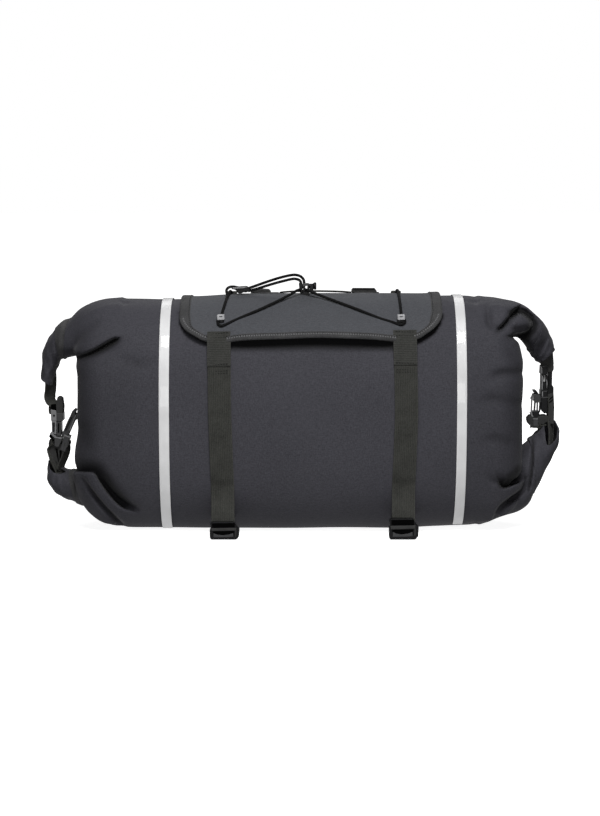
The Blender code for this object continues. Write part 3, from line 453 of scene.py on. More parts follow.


# Folds on the picture plane. Columns of each row: depth of the fold in mm (negative is a ridge),
# width to the left and to the right of its line in px, then its points with a share of the depth.
# The carved depths also darken the cloth's colour as painted shade.
FOLDS = {
    "left": [
        (14.0, 3.6, 1.3, [(115.6, 338.8, .5), (111.5, 341.0, .95), (104, 345.2, 1), (96, 349.7, .85), (88, 353.3, .5), (80, 355.7, .2), (76.5, 356.5, .05)]),
        (3.4, 9.0, 2.0, [(118, 338, .3), (108, 344, 1), (95, 351, .8), (84, 356, .4)]),
        (-1.6, 4.0, 3.0, [(112, 333, .4), (98, 340, 1), (86, 346, 1), (76, 350, .6)]),
        (1.4, 4.0, 5.0, [(106, 316, .2), (94, 324, 1), (84, 333, 1), (76, 343, .7)]),
        (2.2, 7.0, 7.0, [(125, 361, .6), (137, 364, 1), (150, 362, .5)]),
        (13.5, 8.5, 0.9, [(76, 471.2, .3), (84, 471.6, .5), (94, 472.2, .65), (99, 479.5, .9), (104, 487.2, 1), (110, 495, 1),
                          (116, 501.5, 1), (122, 506.6, .7), (128, 509.5, .2)]),
        (8.0, 3.4, 3.4, [(104, 480, .6), (112, 490, 1), (121, 498, 1), (130, 504.5, .9), (137, 508, .4)]),
        (7.5, 1.1, 3.8, [(84, 478.5, .3), (92.5, 490.5, .9), (102, 502.5, 1), (112.4, 513.5, 1), (123, 523.6, .8)]),
        (2.0, 4.0, 4.0, [(100, 478, .2), (108, 505, .4), (118, 516, .4)]),
        (2.0, 8.0, 8.0, [(84, 430, 1), (86, 440, 1), (90, 452, .5)]),
    ],
    "right": [
        (13.0, 0.9, 3.2, [(497.5, 330, .3), (502, 325.5, .9), (511, 315.5, 1), (518.5, 307.6, .7), (522, 304.4, .1)]),
        (17.0, 2.6, 3.4, [(512, 314.0, .8), (518, 310.8, 1), (524, 311.6, 1), (531, 318.0, .9), (533, 323, .5)]),
        (-5.0, 5.0, 5.0, [(515, 324, 1), (526, 323.5, 1)]),
        (15.0, 0.9, 5.0, [(513, 334.6, .4), (521, 334, 1), (528, 331.3, 1), (532.6, 325, .9), (533.2, 320, .4)]),
        (3.4, 1.1, 4.0, [(550, 333, .4), (547.5, 340, 1), (540.7, 354, 1)]),
        (3.6, 4.0, 2.6, [(488, 306, .4), (488, 318, 1), (490, 326, 1), (499, 330, .8)]),
        (-1.6, 4.0, 4.0, [(496, 304, .5), (505, 309, 1), (503, 317, 1)]),
        (3.6, 4.5, 5.5, [(490, 378, .2), (498, 374.5, 1), (506, 373, 1), (518, 372.5, .8)]),
        (2.4, 5.0, 6.0, [(480, 402, .3), (492, 399, 1), (505, 401, .8), (518, 404, .6)]),
        (2.2, 5.0, 6.0, [(484, 441, .3), (494, 439, 1), (508, 442, .8)]),
        (1.6, 5.0, 5.0, [(505, 345, .4), (512, 356, 1), (517, 366, .6)]),
        (4.5, 0.8, 1.8, [(533, 440, .6), (533.2, 452, 1), (533.2, 463.4, 1), (531.5, 478, 1), (529.4, 490.4, .7)]),
        (-1.5, 2.0, 2.0, [(530.0, 442, .6), (529.8, 456, 1), (527.6, 474, 1), (526, 488, .6)]),
        (9.0, 5.5, 0.9, [(523.2, 468, .12), (524.5, 476, .35), (524.3, 482.3, .8), (520.8, 490, 1), (509.9, 497.5, 1),
                         (500, 505.3, 1), (495, 513, .6)]),
        (-1.5, 1.3, 1.3, [(528.5, 490, .8), (519, 499, 1), (508.7, 508.5, .7)]),
        (12.0, 7.0, 0.9, [(499.4, 482.6, .4), (501.2, 486.0, .8), (504.4, 487.5, 1), (509.2, 485.9, 1), (514.6, 483.5, 1),
                          (518.8, 481.8, .6)]),
        (3.5, 6.0, 3.0, [(488, 478, .3), (496, 482, 1), (504, 484, .6)]),
    ],
}


def fold_amount(px, py, side):
    """How far the cloth's front is carved in at a place of the picture plane."""
    total = np.zeros(px.shape)
    for depth, wide_left, wide_right, line in FOLDS[side]:
        line = np.array(line, float)
        line = smooth_path(line, count=max(8, 3 * len(line)))
        reach = 3.0 * max(wide_left, wide_right)
        near = ((px > line[:, 0].min() - reach) & (px < line[:, 0].max() + reach)
                & (py > line[:, 1].min() - reach) & (py < line[:, 1].max() + reach))
        if not near.any():
            continue
        x, y = px[near], py[near]
        best = np.full(x.shape, 1e9)
        signed = np.zeros(x.shape)
        share = np.zeros(x.shape)
        for a, b in zip(line, line[1:]):
            d = b[:2] - a[:2]
            length = max(float(d @ d), 1e-9)
            t = np.clip(((x - a[0]) * d[0] + (y - a[1]) * d[1]) / length, 0, 1)
            ex, ey = x - a[0] - t * d[0], y - a[1] - t * d[1]
            dist = np.hypot(ex, ey)
            cross = d[0] * ey - d[1] * ex
            better = dist < best
            best = np.where(better, dist, best)
            signed = np.where(better, np.sign(cross), signed)
            share = np.where(better, a[2] + (b[2] - a[2]) * t, share)
        wide = np.where(signed > 0, wide_right, wide_left)
        total[near] += depth * share * np.exp(-(best / wide) ** 2)
    return total


def shade_mesh(ob, amount):
    """Store how much of the light a place of the cloth loses in its folds and other shaded places, as painted shade in
    its colour.
    """
    layer = ob.data.attributes.new("painted_shade", "FLOAT", "POINT")
    layer.data.foreach_set("value", np.clip(amount, 0, 0.93).astype(F32))


# Painted shade only: these rows carve nothing and only darken the cloth's colour, in the folds' hollows and towards the
# end walls.
FOLDS["left_shade"] = [
    (9.5, 4.4, 0.9, [(114.2, 339.4, .7), (110, 341.8, 1), (103, 345.8, 1), (94, 350.6, 1), (86, 354.2, .8), (77, 357, .55)]),
    (8.0, 3.4, 1.6, [(115, 339.8, .6), (110, 342.6, 1), (104, 346, .8), (97, 349.8, .4)]),
    (6.0, 8.0, 0.9, [(76, 470.5, .9), (84, 471.0, 1), (94, 471.6, 1), (99, 479.5, 1), (104, 487.2, 1), (110, 495, .9), (118, 503, .5)]),
    (3.8, 0.9, 2.4, [(84, 478.5, .2), (92.5, 490.5, .7), (102, 502.5, 1), (112.4, 513.5, 1), (123, 523.6, .8)]),
    (4.5, 0.9, 0.9, [(74.2, 474, .7), (74.6, 484, 1), (75.4, 497, .8)]),
    (2.0, 13.0, 9.0, [(79, 360, .8), (81, 400, 1), (82, 440, 1), (80, 466, 1.1)]),
    (3.4, 75.0, 9.0, [(80, 392, .8), (81, 404, 1), (82, 430, 1), (82, 455, .7)]),
]
FOLDS["right_shade"] = [
    (8.6, 4.0, 6.0, [(530, 330, 1), (526, 339, 1), (521, 343, .7)]),
    (6.4, 7.0, 8.0, [(536, 322, .6), (536, 338, .9), (531, 350, .8)]),
    (8.0, 1.6, 3.0, [(513, 313.6, .8), (519, 309.6, 1), (527, 314, 1), (532, 320, .8)]),
    (12.0, 3.2, 4.2, [(502.2, 483.6, 1), (508, 480.4, 1), (513, 476.8, 1), (516.6, 473.0, 1), (517.8, 469.0, .8)]),
    (3.0, 3.0, 2.0, [(500.5, 481.0, .8), (507, 475.6, 1), (513.5, 471.4, 1), (517.6, 466.4, .7)]),
    (5.0, 0.9, 2.2, [(533, 440, .8), (533.2, 452, 1), (533.2, 463.4, 1), (531.5, 478, 1), (529.4, 490.4, .7)]),
    (1.1, 9.0, 11.0, [(519, 372, .9), (518, 400, 1), (518, 440, 1), (516, 460, .8)]),
    (3.0, 9.0, 50.0, [(519, 380, .6), (518, 400, 1), (518, 440, 1), (516, 456, .8)]),
]


def under_shade(verts):
    """Painted shade: the cloth's colour is darker where it turns under the bag."""
    return 0.42 * (1 - smoothstep(verts[:, 2], 3.0, 30.0))


def painted_shade_facing_down(ob):
    """Painted shade as well, for every place that faces down."""
    normal = np.empty(len(ob.data.vertices) * 3, F32)
    ob.data.vertices.foreach_get("normal", normal)
    return 0.36 * smoothstep(-normal.reshape(-1, 3)[:, 2], 0.40, 0.92)


def painted_shade_of(verts, side):
    """Share of light painted out of the cloth's colour at points of the drawing frame: painted shade in the folds, from
    the shade tables and under the bag.
    """
    px, py = picture(verts[:, 0], verts[:, 1], verts[:, 2])
    depth = np.maximum(fold_amount(px, py, side), 0) + np.maximum(fold_amount(px, py, side + "_shade"), 0)
    depth = depth * smoothstep(-verts[:, 1], 2.0, 14.0)
    return np.maximum(0.92 * (1 - np.exp(-(depth / 8.5) ** 1.6)), under_shade(verts))


# the flap's lower edge on the picture plane and how far the painted shadow under it reaches below
FLAP_SHADE = np.array([
    (180.5, 313, 2.5), (182, 323.4, 3), (186.6, 330, 3.5), (194.3, 335, 4), (207, 339.5, 6.5), (230.6, 340.0, 12), (273, 338.6, 13.5),
    (316, 337.6, 13.5), (356, 338.6, 13.5), (393, 340, 12), (416.3, 339.2, 6.5), (425.7, 335.6, 4), (433.4, 331, 3.5), (439, 323.4, 3),
    (441.5, 315.7, 2.5)])


# painted shadow of the flap's edge, darkening the body's colour below it
def flap_shade(verts):
    px, py = picture(verts[:, 0], verts[:, 1], verts[:, 2])
    best = np.full(px.shape, 1e9)
    reach = np.full(px.shape, 3.0)
    for a, b in zip(FLAP_SHADE, FLAP_SHADE[1:]):
        d = b[:2] - a[:2]
        t = np.clip(((px - a[0]) * d[0] + (py - a[1]) * d[1]) / (d @ d), 0, 1)
        dist = np.hypot(px - a[0] - t * d[0], py - a[1] - t * d[1])
        better = dist < best
        best = np.where(better, dist, best)
        reach = np.where(better, a[2] + (b[2] - a[2]) * t, reach)
    return 0.92 * (1 - smoothstep(best / reach, 0.55, 1.15)) * (verts[:, 1] < 0)


WALL_SHAPE = {   # small waves of the end walls' front edge. Columns: z, x offset outwards
    -1: [(40, 0), (56, 3.4), (63, 4.0), (73.5, 2.8), (81.5, 1.6), (93, 0.3), (105, -1.4), (116, -2.3), (150, -2.9), (170, -2.7),
         (180, -1.0), (188, -1.0), (196, 1.0), (220, 0)],
    1: [(40, 0), (90, -0.2), (120, -0.8), (150, -0.5), (172, 0.6), (186, 0.2), (200, -2.5), (212, -4.0), (230, -2)],
}


def smooth_min(a, b, k):
    h = np.clip(0.5 + 0.5 * (b - a) / k, 0, 1)
    return b + (a - b) * h - k * h * (1 - h)


def bag_field(xs, ys, zs, side):
    x, y, z = np.meshgrid(xs, ys, zs, indexing="ij")
    x, y, z = x.astype(F32), y.astype(F32), z.astype(F32)
    a, top, bottom = [v.astype(F32)[:, None, None] for v in dims(xs)]
    c, mid = (top - bottom) / 2, (top + bottom) / 2
    q, r = np.abs(y / a), np.abs((z - mid) / c)
    rho = np.maximum((q ** POWER + r ** POWER) ** (1 / POWER), 0.05)
    grad = np.sqrt((q ** (POWER - 1) / a) ** 2 + (r ** (POWER - 1) / c) ** 2) * rho ** (1 - POWER)
    body = (rho - 1) / np.maximum(grad, 1e-4)
    # slow waves of the stuffed cloth
    body += (0.55 * np.sin(x / 31.0 + z / 53.0) * np.sin(z / 37.0 + 1.0) + 0.35 * np.sin(x / 17.0 - z / 29.0 + 2.0)
             * np.sin(y / 23.0 + 0.5)).astype(F32)
    if side:
        wall = abs(WALL_LEFT if side < 0 else WALL_RIGHT)
        t = np.clip((np.abs(y) - 19) / 25.0, 0, 1)
        valley = 24 * (1 - t * t * (3 - 2 * t))
        slope = 24 / 25.0 * 6 * t * (1 - t)
        shape = np.array(WALL_SHAPE[side], float)
        bulge = 2.0 * (1 - np.minimum(rho, 1)) + np.interp(zs, shape[:, 0], shape[:, 1]).astype(F32)[None, None, :]
        end = (side * x - (wall + bulge - valley)) / np.sqrt(1 + slope * slope)
        radius = 30.0
        u, v = body + radius, end + radius
        body = np.hypot(np.maximum(u, 0), np.maximum(v, 0)) + np.minimum(np.maximum(u, v), 0) - radius
        for where in SLEEVES:
            if where.endswith("left" if side < 0 else "right"):
                rows = np.array(SLEEVES[where])
                lo = min(rows[:, 1].min(), rows[:, 3].min()) - 16
                hi = max(rows[:, 1].max(), rows[:, 3].max()) + 16
                kz = np.where((zs >= lo) & (zs <= hi))[0]
                kx = np.where(side * xs > 176)[0]
                part = np.ix_(kx, np.arange(len(ys)), kz)
                f, _ = sleeve_field(where, x[part], y[part], z[part])
                body[part] = smooth_min(body[part], f, 8.0)
        px, py = picture(x, y, z)
        front = smoothstep(-y, 7.0, 29.0)
        carve = fold_amount(px, py, "left" if side < 0 else "right")
        body += (carve * front).astype(F32)
    # the floor flattens the underside
    floor = -z
    h = np.clip(0.5 - 0.5 * (floor - body) / 3.0, 0, 1)
    body = floor * (1 - h) + body * h + 3.0 * h * (1 - h)
    return body


def bag_piece(name, x_low, x_high, side, step):
    xs = np.arange(x_low, x_high + step, step)
    ys = np.arange(-97.0, 97.0 + step, step)
    zs = np.arange(-3.0, 259.0 + step, step)
    field = bag_field(xs, ys, zs, side)
    verts, faces = surface_nets(xs, ys, zs, field)
    verts = relax(verts, faces, 2, 0.45)
    ob = mesh_object(name, verts, faces)
    # painted shade in the cloth's colour: folds and walls on the end pieces, the flap's shadow and the underside on the
    # middle piece, down-facing places on all
    amount = painted_shade_of(verts, "left" if side < 0 else "right") if side else np.maximum(flap_shade(verts), under_shade(verts))
    shade_mesh(ob, np.maximum(amount, painted_shade_facing_down(ob)))
    print(name, len(faces) * 2, "triangles")
    return ob


body_mid = bag_piece("bag_shell_body", -146.0, 173.0, 0, 2.8)
end_left = bag_piece("bag_shell_end_left", -290.0, -143.0, -1, 1.45)
end_right = bag_piece("bag_shell_end_right", 170.0, 290.0, 1, 1.45)

# ---- materials ------------------------------------------------------------------------------
class Graph:
    """Short names for building a material's nodes."""

    def __init__(self, name, rough, specular=0.5, sheen=0.0, sheen_rough=0.5, coat=0.0, metallic=0.0, ior=1.45):
        self.mat = bpy.data.materials.new(name)
        self.mat.use_nodes = True
        self.tree = self.mat.node_tree
        self.shader = self.tree.nodes["Principled BSDF"]
        put = self.shader.inputs
        put["Roughness"].default_value = rough
        put["Specular IOR Level"].default_value = specular
        put["Sheen Weight"].default_value = sheen
        put["Sheen Roughness"].default_value = sheen_rough
        put["Coat Weight"].default_value = coat
        put["Metallic"].default_value = metallic
        put["IOR"].default_value = ior

    def node(self, kind, **values):
        n = self.tree.nodes.new(kind)
        for key, value in values.items():
            setattr(n, key, value)
        return n

    def link(self, out, into):
        self.tree.links.new(out, into)

    def math(self, op, a, b=0.0, c=None):
        n = self.node("ShaderNodeMath", operation=op)
        for k, v in enumerate((a, b) if c is None else (a, b, c)):
            if isinstance(v, (int, float)):
                n.inputs[k].default_value = v
            else:
                self.link(v, n.inputs[k])
        return n.outputs[0]

    def place(self):
        """Object coordinates in millimetres, split."""
        tex = self.node("ShaderNodeTexCoord")
        scale = self.node("ShaderNodeVectorMath", operation="SCALE")
        scale.inputs["Scale"].default_value = 1000.0
        self.link(tex.outputs["Object"], scale.inputs[0])
        self.mm = scale.outputs[0]
        split = self.node("ShaderNodeSeparateXYZ")
        self.link(self.mm, split.inputs[0])
        return split.outputs

    def cloth(self):
        """The mesh's own "cloth" coordinates: across, along, height, in millimetres."""
        tex = self.node("ShaderNodeAttribute", attribute_name="cloth")
        self.own = tex.outputs["Vector"]
        split = self.node("ShaderNodeSeparateXYZ")
        self.link(self.own, split.inputs[0])
        return split.outputs

    def noise(self, vector, scale, detail=2.0, rough=0.5, stretch=None):
        if stretch is not None:
            m = self.node("ShaderNodeVectorMath", operation="MULTIPLY")
            m.inputs[1].default_value = stretch
            self.link(vector, m.inputs[0])
            vector = m.outputs[0]
        n = self.node("ShaderNodeTexNoise")
        n.inputs["Scale"].default_value = scale
        n.inputs["Detail"].default_value = detail
        n.inputs["Roughness"].default_value = rough
        self.link(vector, n.inputs["Vector"])
        return n.outputs["Fac"]

    def ramp(self, value, stops):
        n = self.node("ShaderNodeValToRGB")
        e = n.color_ramp.elements
        while len(e) < len(stops):
            e.new(0.5)
        for k, (at, colour) in enumerate(stops):
            e[k].position = at
            e[k].color = (*colour, 1)
        self.link(value, n.inputs["Fac"])
        return n.outputs["Color"]

    def span(self, value, a, b, c, d):
        n = self.node("ShaderNodeMapRange")
        for k, v in enumerate((a, b, c, d)):
            n.inputs[k + 1].default_value = v
        self.link(value, n.inputs[0])
        return n.outputs[0]

    def colour(self, out):
        self.link(out, self.shader.inputs["Base Color"])

    def rough(self, out):
        self.link(out, self.shader.inputs["Roughness"])

    def bump(self, height, distance, strength=1.0, before=None):
        n = self.node("ShaderNodeBump")
        n.inputs["Distance"].default_value = distance * MM
        n.inputs["Strength"].default_value = strength
        self.link(height, n.inputs["Height"])
        if before is not None:
            self.link(before, n.inputs["Normal"])
        self.link(n.outputs["Normal"], self.shader.inputs["Normal"])
        return n.outputs["Normal"]


def weave(g, xyz, pitch):
    """Plain weave seen from whichever side the cloth faces."""
    geometry = g.node("ShaderNodeNewGeometry")
    split = g.node("ShaderNodeSeparateXYZ")
    g.link(geometry.outputs["True Normal"], split.inputs[0])
    k = math.pi / pitch
    waves = [g.math("SINE", g.math("MULTIPLY", v, k)) for v in xyz]
    planes = []
    for axis, (p, q) in enumerate(((1, 2), (0, 2), (0, 1))):
        thread = g.math("MULTIPLY", waves[p], waves[q])
        weight = g.math("POWER", g.math("ABSOLUTE", split.outputs[axis]), 3.0)
        planes.append((g.math("MULTIPLY", thread, weight), weight))
    top = g.math("ADD", g.math("ADD", planes[0][0], planes[1][0]), planes[2][0])
    low = g.math("ADD", g.math("ADD", planes[0][1], planes[1][1]), planes[2][1])
    return g.math("DIVIDE", top, g.math("MAXIMUM", low, 0.05))


def fabric(name, dark, light, pitch, rough, depth, sheen):
    g = Graph(name, rough, specular=0.16, sheen=sheen, sheen_rough=0.45)
    xyz = g.place()
    thread = weave(g, xyz, pitch)
    warp = g.noise(g.mm, 1.0, 2.0, 0.6, (1.0, 1.0, 0.28))
    weft = g.noise(g.mm, 1.0, 2.0, 0.6, (0.28, 1.0, 1.0))
    slow = g.noise(g.mm, 0.012, 3.0, 0.5)
    grain = g.noise(g.mm, 0.9, 3.0, 0.65)
    mix = g.math("ADD", g.math("MULTIPLY", warp, 0.35), g.math("MULTIPLY", weft, 0.35))
    mix = g.math("ADD", mix, g.math("MULTIPLY", grain, 0.3))
    tone = g.math("ADD", g.span(mix, 0.36, 0.64, 0.18, 0.82), g.math("MULTIPLY", thread, 0.10))
    tone = g.math("ADD", tone, g.math("MULTIPLY", g.math("SUBTRACT", slow, 0.5), 0.35))
    # painted shade: the cloth's colour is darkened by the stored painted shade amount
    painted_shade = g.node("ShaderNodeAttribute", attribute_name="painted_shade")
    keep = g.math("SUBTRACT", 1.0, painted_shade.outputs["Fac"])
    dim = g.node("ShaderNodeVectorMath", operation="SCALE")
    g.link(g.ramp(tone, [(0.0, dark), (1.0, light)]), dim.inputs[0])
    g.link(keep, dim.inputs["Scale"])
    g.colour(dim.outputs[0])
    height = g.math("ADD", g.math("MULTIPLY", thread, 0.5), g.math("MULTIPLY", mix, 1.0))
    g.bump(height, depth)
    g.rough(g.span(mix, 0.35, 0.65, rough + 0.06, rough - 0.06))
    return g.mat


def webbing(name, dark, light, rib, cross, depth=0.22, along_ribs=True):
    """Ribbed webbing from the mesh's own coordinates."""
    g = Graph(name, 0.74, specular=0.14, sheen=0.06, sheen_rough=0.4)
    across, along, high = g.cloth()
    g.place()
    a = g.math("SINE", g.math("MULTIPLY", across, 2 * math.pi / rib))
    b = g.math("SINE", g.math("MULTIPLY", along, 2 * math.pi / cross))
    knit = g.math("MULTIPLY", a, b)
    base = g.math("ADD", g.math("MULTIPLY", a if along_ribs else b, 0.55), g.math("MULTIPLY", knit, 0.45))
    fuzz = g.noise(g.own, 0.9, 2.0, 0.6)
    slow = g.noise(g.own, 0.05, 2.0, 0.5)
    tone = g.math("ADD", g.math("MULTIPLY_ADD", base, 0.20, 0.35), g.math("MULTIPLY", g.math("SUBTRACT", fuzz, 0.5), 0.9))
    tone = g.math("ADD", tone, g.math("MULTIPLY", g.math("SUBTRACT", slow, 0.5), 0.5))
    # a little worn and lighter at the selvedges
    edge = g.math("GREATER_THAN", g.math("ABSOLUTE", across), 11.3)
    tone = g.math("ADD", tone, g.math("MULTIPLY", edge, 0.12))
    g.colour(g.ramp(tone, [(0.0, dark), (0.6, light), (1.0, tuple(min(1.0, 1.5 * c) for c in light))]))
    g.bump(g.math("ADD", base, g.math("MULTIPLY", fuzz, 0.6)), depth)
    return g.mat


def plastic(name, base, lift, rough=0.42, scale=0.9, depth=0.03, coat=0.0, gloss=0.3):
    g = Graph(name, rough, specular=gloss, coat=coat)
    g.place()
    fine = g.noise(g.mm, scale, 3.0, 0.6)
    cloud = g.noise(g.mm, 0.12, 2.0, 0.5)
    tone = g.math("ADD", g.math("MULTIPLY", fine, 0.6), g.math("MULTIPLY", cloud, 0.4))
    # edges of moulded parts are painted lighter: a painted highlight where they catch light, and wear where they are
    # rubbed
    geometry = g.node("ShaderNodeNewGeometry")
    wear_and_highlight = g.span(geometry.outputs["Pointiness"], 0.52, 0.62, 0.0, 0.55)
    g.colour(g.ramp(g.math("ADD", g.span(tone, 0.35, 0.65, 0.0, 0.45), wear_and_highlight), [(0.0, base), (1.0, lift)]))
    g.rough(g.span(fine, 0.3, 0.7, rough - 0.06, rough + 0.10))
    g.bump(fine, depth)
    return g.mat


BODY_CLOTH = fabric("body_cloth", (0.024, 0.0236, 0.0285), (0.056, 0.0552, 0.0655), 0.75, 0.74, 0.10, 0.06)
FLAP_CLOTH = fabric("flap_cloth", (0.036, 0.0374, 0.0420), (0.080, 0.0832, 0.0925), 0.95, 0.78, 0.14, 0.03)
BAND_CLOTH = fabric("band_cloth", (0.028, 0.0278, 0.0285), (0.068, 0.0672, 0.0690), 0.75, 0.74, 0.10, 0.05)
STRAP = webbing("strap_webbing", (0.0165, 0.0167, 0.0148), (0.043, 0.0435, 0.0392), 1.9, 1.5)
STRAP_FINE = webbing("strap_top_webbing", (0.0165, 0.0167, 0.0150), (0.044, 0.0445, 0.0410), 1.5, 1.9, 0.22, False)
BINDING = webbing("binding_tape", (0.018, 0.018, 0.0185), (0.062, 0.062, 0.0635), 1.4, 1.2, 0.18, False)
BLACK = plastic("black_plastic", (0.002, 0.002, 0.0023), (0.015, 0.015, 0.016), 0.36, gloss=0.10)
# painted shadow: a nearly black copy of the plastic, put in slots, gaps and fold lines where there is only shade
SHADOW_BLACK = plastic("painted_shadow_black", (0.0010, 0.0010, 0.0010), (0.0022, 0.0022, 0.0022), 0.7, gloss=0.0)
# painted light: a half-lit and a lit copy of the black plastic, for faces and edges that catch light
HALF_LIGHT_BLACK = plastic("black_plastic_painted_half_light", (0.018, 0.018, 0.019), (0.050, 0.050, 0.052), 0.38, gloss=0.25)
HIGHLIGHT_BLACK = plastic("black_plastic_lit", (0.085, 0.085, 0.088), (0.20, 0.20, 0.205), 0.34, gloss=0.4)
FOLDED = plastic("folded_webbing", (0.018, 0.018, 0.0178), (0.052, 0.052, 0.0515), 0.75, 1.6, 0.2, gloss=0.08)
GREY = plastic("grey_plastic", (0.20, 0.20, 0.21), (0.42, 0.42, 0.43), 0.38)
THREAD = plastic("thread", (0.004, 0.004, 0.004), (0.016, 0.016, 0.016), 0.7, 2.5, 0.05, gloss=0.05)
THREAD_LIGHT = plastic("light_thread", (0.07, 0.07, 0.072), (0.17, 0.17, 0.175), 0.7, 2.5, 0.05, gloss=0.1)


def tape_material():
    g = Graph("reflective_tape", 0.32, specular=0.6, coat=0.25)
    g.place()
    across, along, high = g.cloth()
    bead = g.noise(g.mm, 3.0, 2.0, 0.6)
    slow = g.noise(g.mm, 0.05, 3.0, 0.5)
    u = g.math("SINE", g.math("MULTIPLY", g.math("ADD", across, along), 2 * math.pi / 1.6))
    v = g.math("SINE", g.math("MULTIPLY", g.math("SUBTRACT", across, along), 2 * math.pi / 1.6))
    mesh = g.math("MULTIPLY", u, v)
    tone = g.math("ADD", g.math("MULTIPLY", mesh, 0.10), g.span(slow, 0.3, 0.7, 0.45, 0.75))
    tone = g.math("ADD", tone, g.math("MULTIPLY", g.math("SUBTRACT", bead, 0.5), 0.4))
    g.colour(g.ramp(tone, [(0.0, (0.46, 0.46, 0.465)), (1.0, (0.66, 0.66, 0.665))]))
    g.bump(g.math("ADD", mesh, bead), 0.05)
    return g.mat


def cord_material():
    g = Graph("elastic_cord", 0.75, specular=0.07, sheen=0.008)
    around, along, high = g.cloth()
    g.place()
    a = g.math("SINE", g.math("ADD", g.math("MULTIPLY", around, 6.0), g.math("MULTIPLY", along, 2.4)))
    b = g.math("SINE", g.math("SUBTRACT", g.math("MULTIPLY", around, 6.0), g.math("MULTIPLY", along, 2.4)))
    braid = g.math("MULTIPLY", a, b)
    g.colour(g.ramp(g.span(braid, -1, 1, 0.0, 1.0), [(0.0, (0.002, 0.002, 0.002)), (1.0, (0.014, 0.014, 0.0145))]))
    g.bump(braid, 0.12)
    return g.mat


TAPE = tape_material()
CORD = cord_material()


def give(ob, mat, slot, *replaces, body="bag"):
    ob.data.materials.clear()
    ob.data.materials.append(mat)
    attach(ob, body)
    if replaces:
        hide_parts(*replaces)
    return ob


give(body_mid, BODY_CLOTH, "bag_fabric", "bag_shell")
give(end_left, BODY_CLOTH, "bag_fabric", "sleeve_top_left", "sleeve_bottom_left")
give(end_right, BODY_CLOTH, "bag_fabric", "sleeve_top_right", "sleeve_bottom_right")

# ---- rolled strips --------------------------------------------------------------------------
ROLLS = {
    "left": [(-226.3, 52, 7, 32), (-227.2, 60, 10, 36), (-227.6, 90, 10.6, 37), (-228.1, 126, 11.2, 37.5),
             (-228.2, 160, 10.4, 37), (-227, 186, 10, 36), (-225.5, 197, 7, 32)],
    "right": [(223, 54, 7, 32), (224.2, 62, 10, 36), (225.6, 92, 10.4, 37), (226.1, 126, 11.0, 37.5),
              (225.8, 166, 10.4, 37), (225, 198, 10, 36), (224.2, 209, 7, 32)],
}


def roll_strip(side):
    rows = smooth_path(ROLLS[side], count=70)
    sign = -1 if side == "left" else 1
    n = 64
    t = 2 * np.pi * np.arange(n) / n
    c, s = np.cos(t), np.sin(t)
    verts, coords = [], []
    for k, (x, z, thick, wide) in enumerate(rows):
        # the cloth's free edge and the layer below it make two steps along the roll
        out = thick / 2 * (1 + 0.05 * np.sin(z / 9.0 + 2 * s))
        step = 1.3 * smoothstep(s, 0.28, 0.34) + 1.0 * smoothstep(-s, 0.55, 0.60)
        radial = sign * (out * np.sign(c) * np.abs(c) ** 0.55)
        radial = radial - sign * step * (c > 0) * np.abs(c) ** 0.3
        yy = wide / 2 * np.sign(s) * np.abs(s) ** 0.75 * (1 + 0.02 * math.sin(z / 13.0))
        verts.append(np.stack([x + radial, yy, np.full(n, z)], 1))
        coords.append(np.stack([yy, np.full(n, z), radial], 1))
    verts, coords = np.concatenate(verts), np.concatenate(coords)
    ob = outward(mesh_object(f"roll_strip_{side}", verts, grid_faces(len(rows), n, True), coords=coords, sharp=50))
    give(ob, BODY_CLOTH, "bag_fabric", f"roll_closure_{side}")


roll_strip("left")
roll_strip("right")


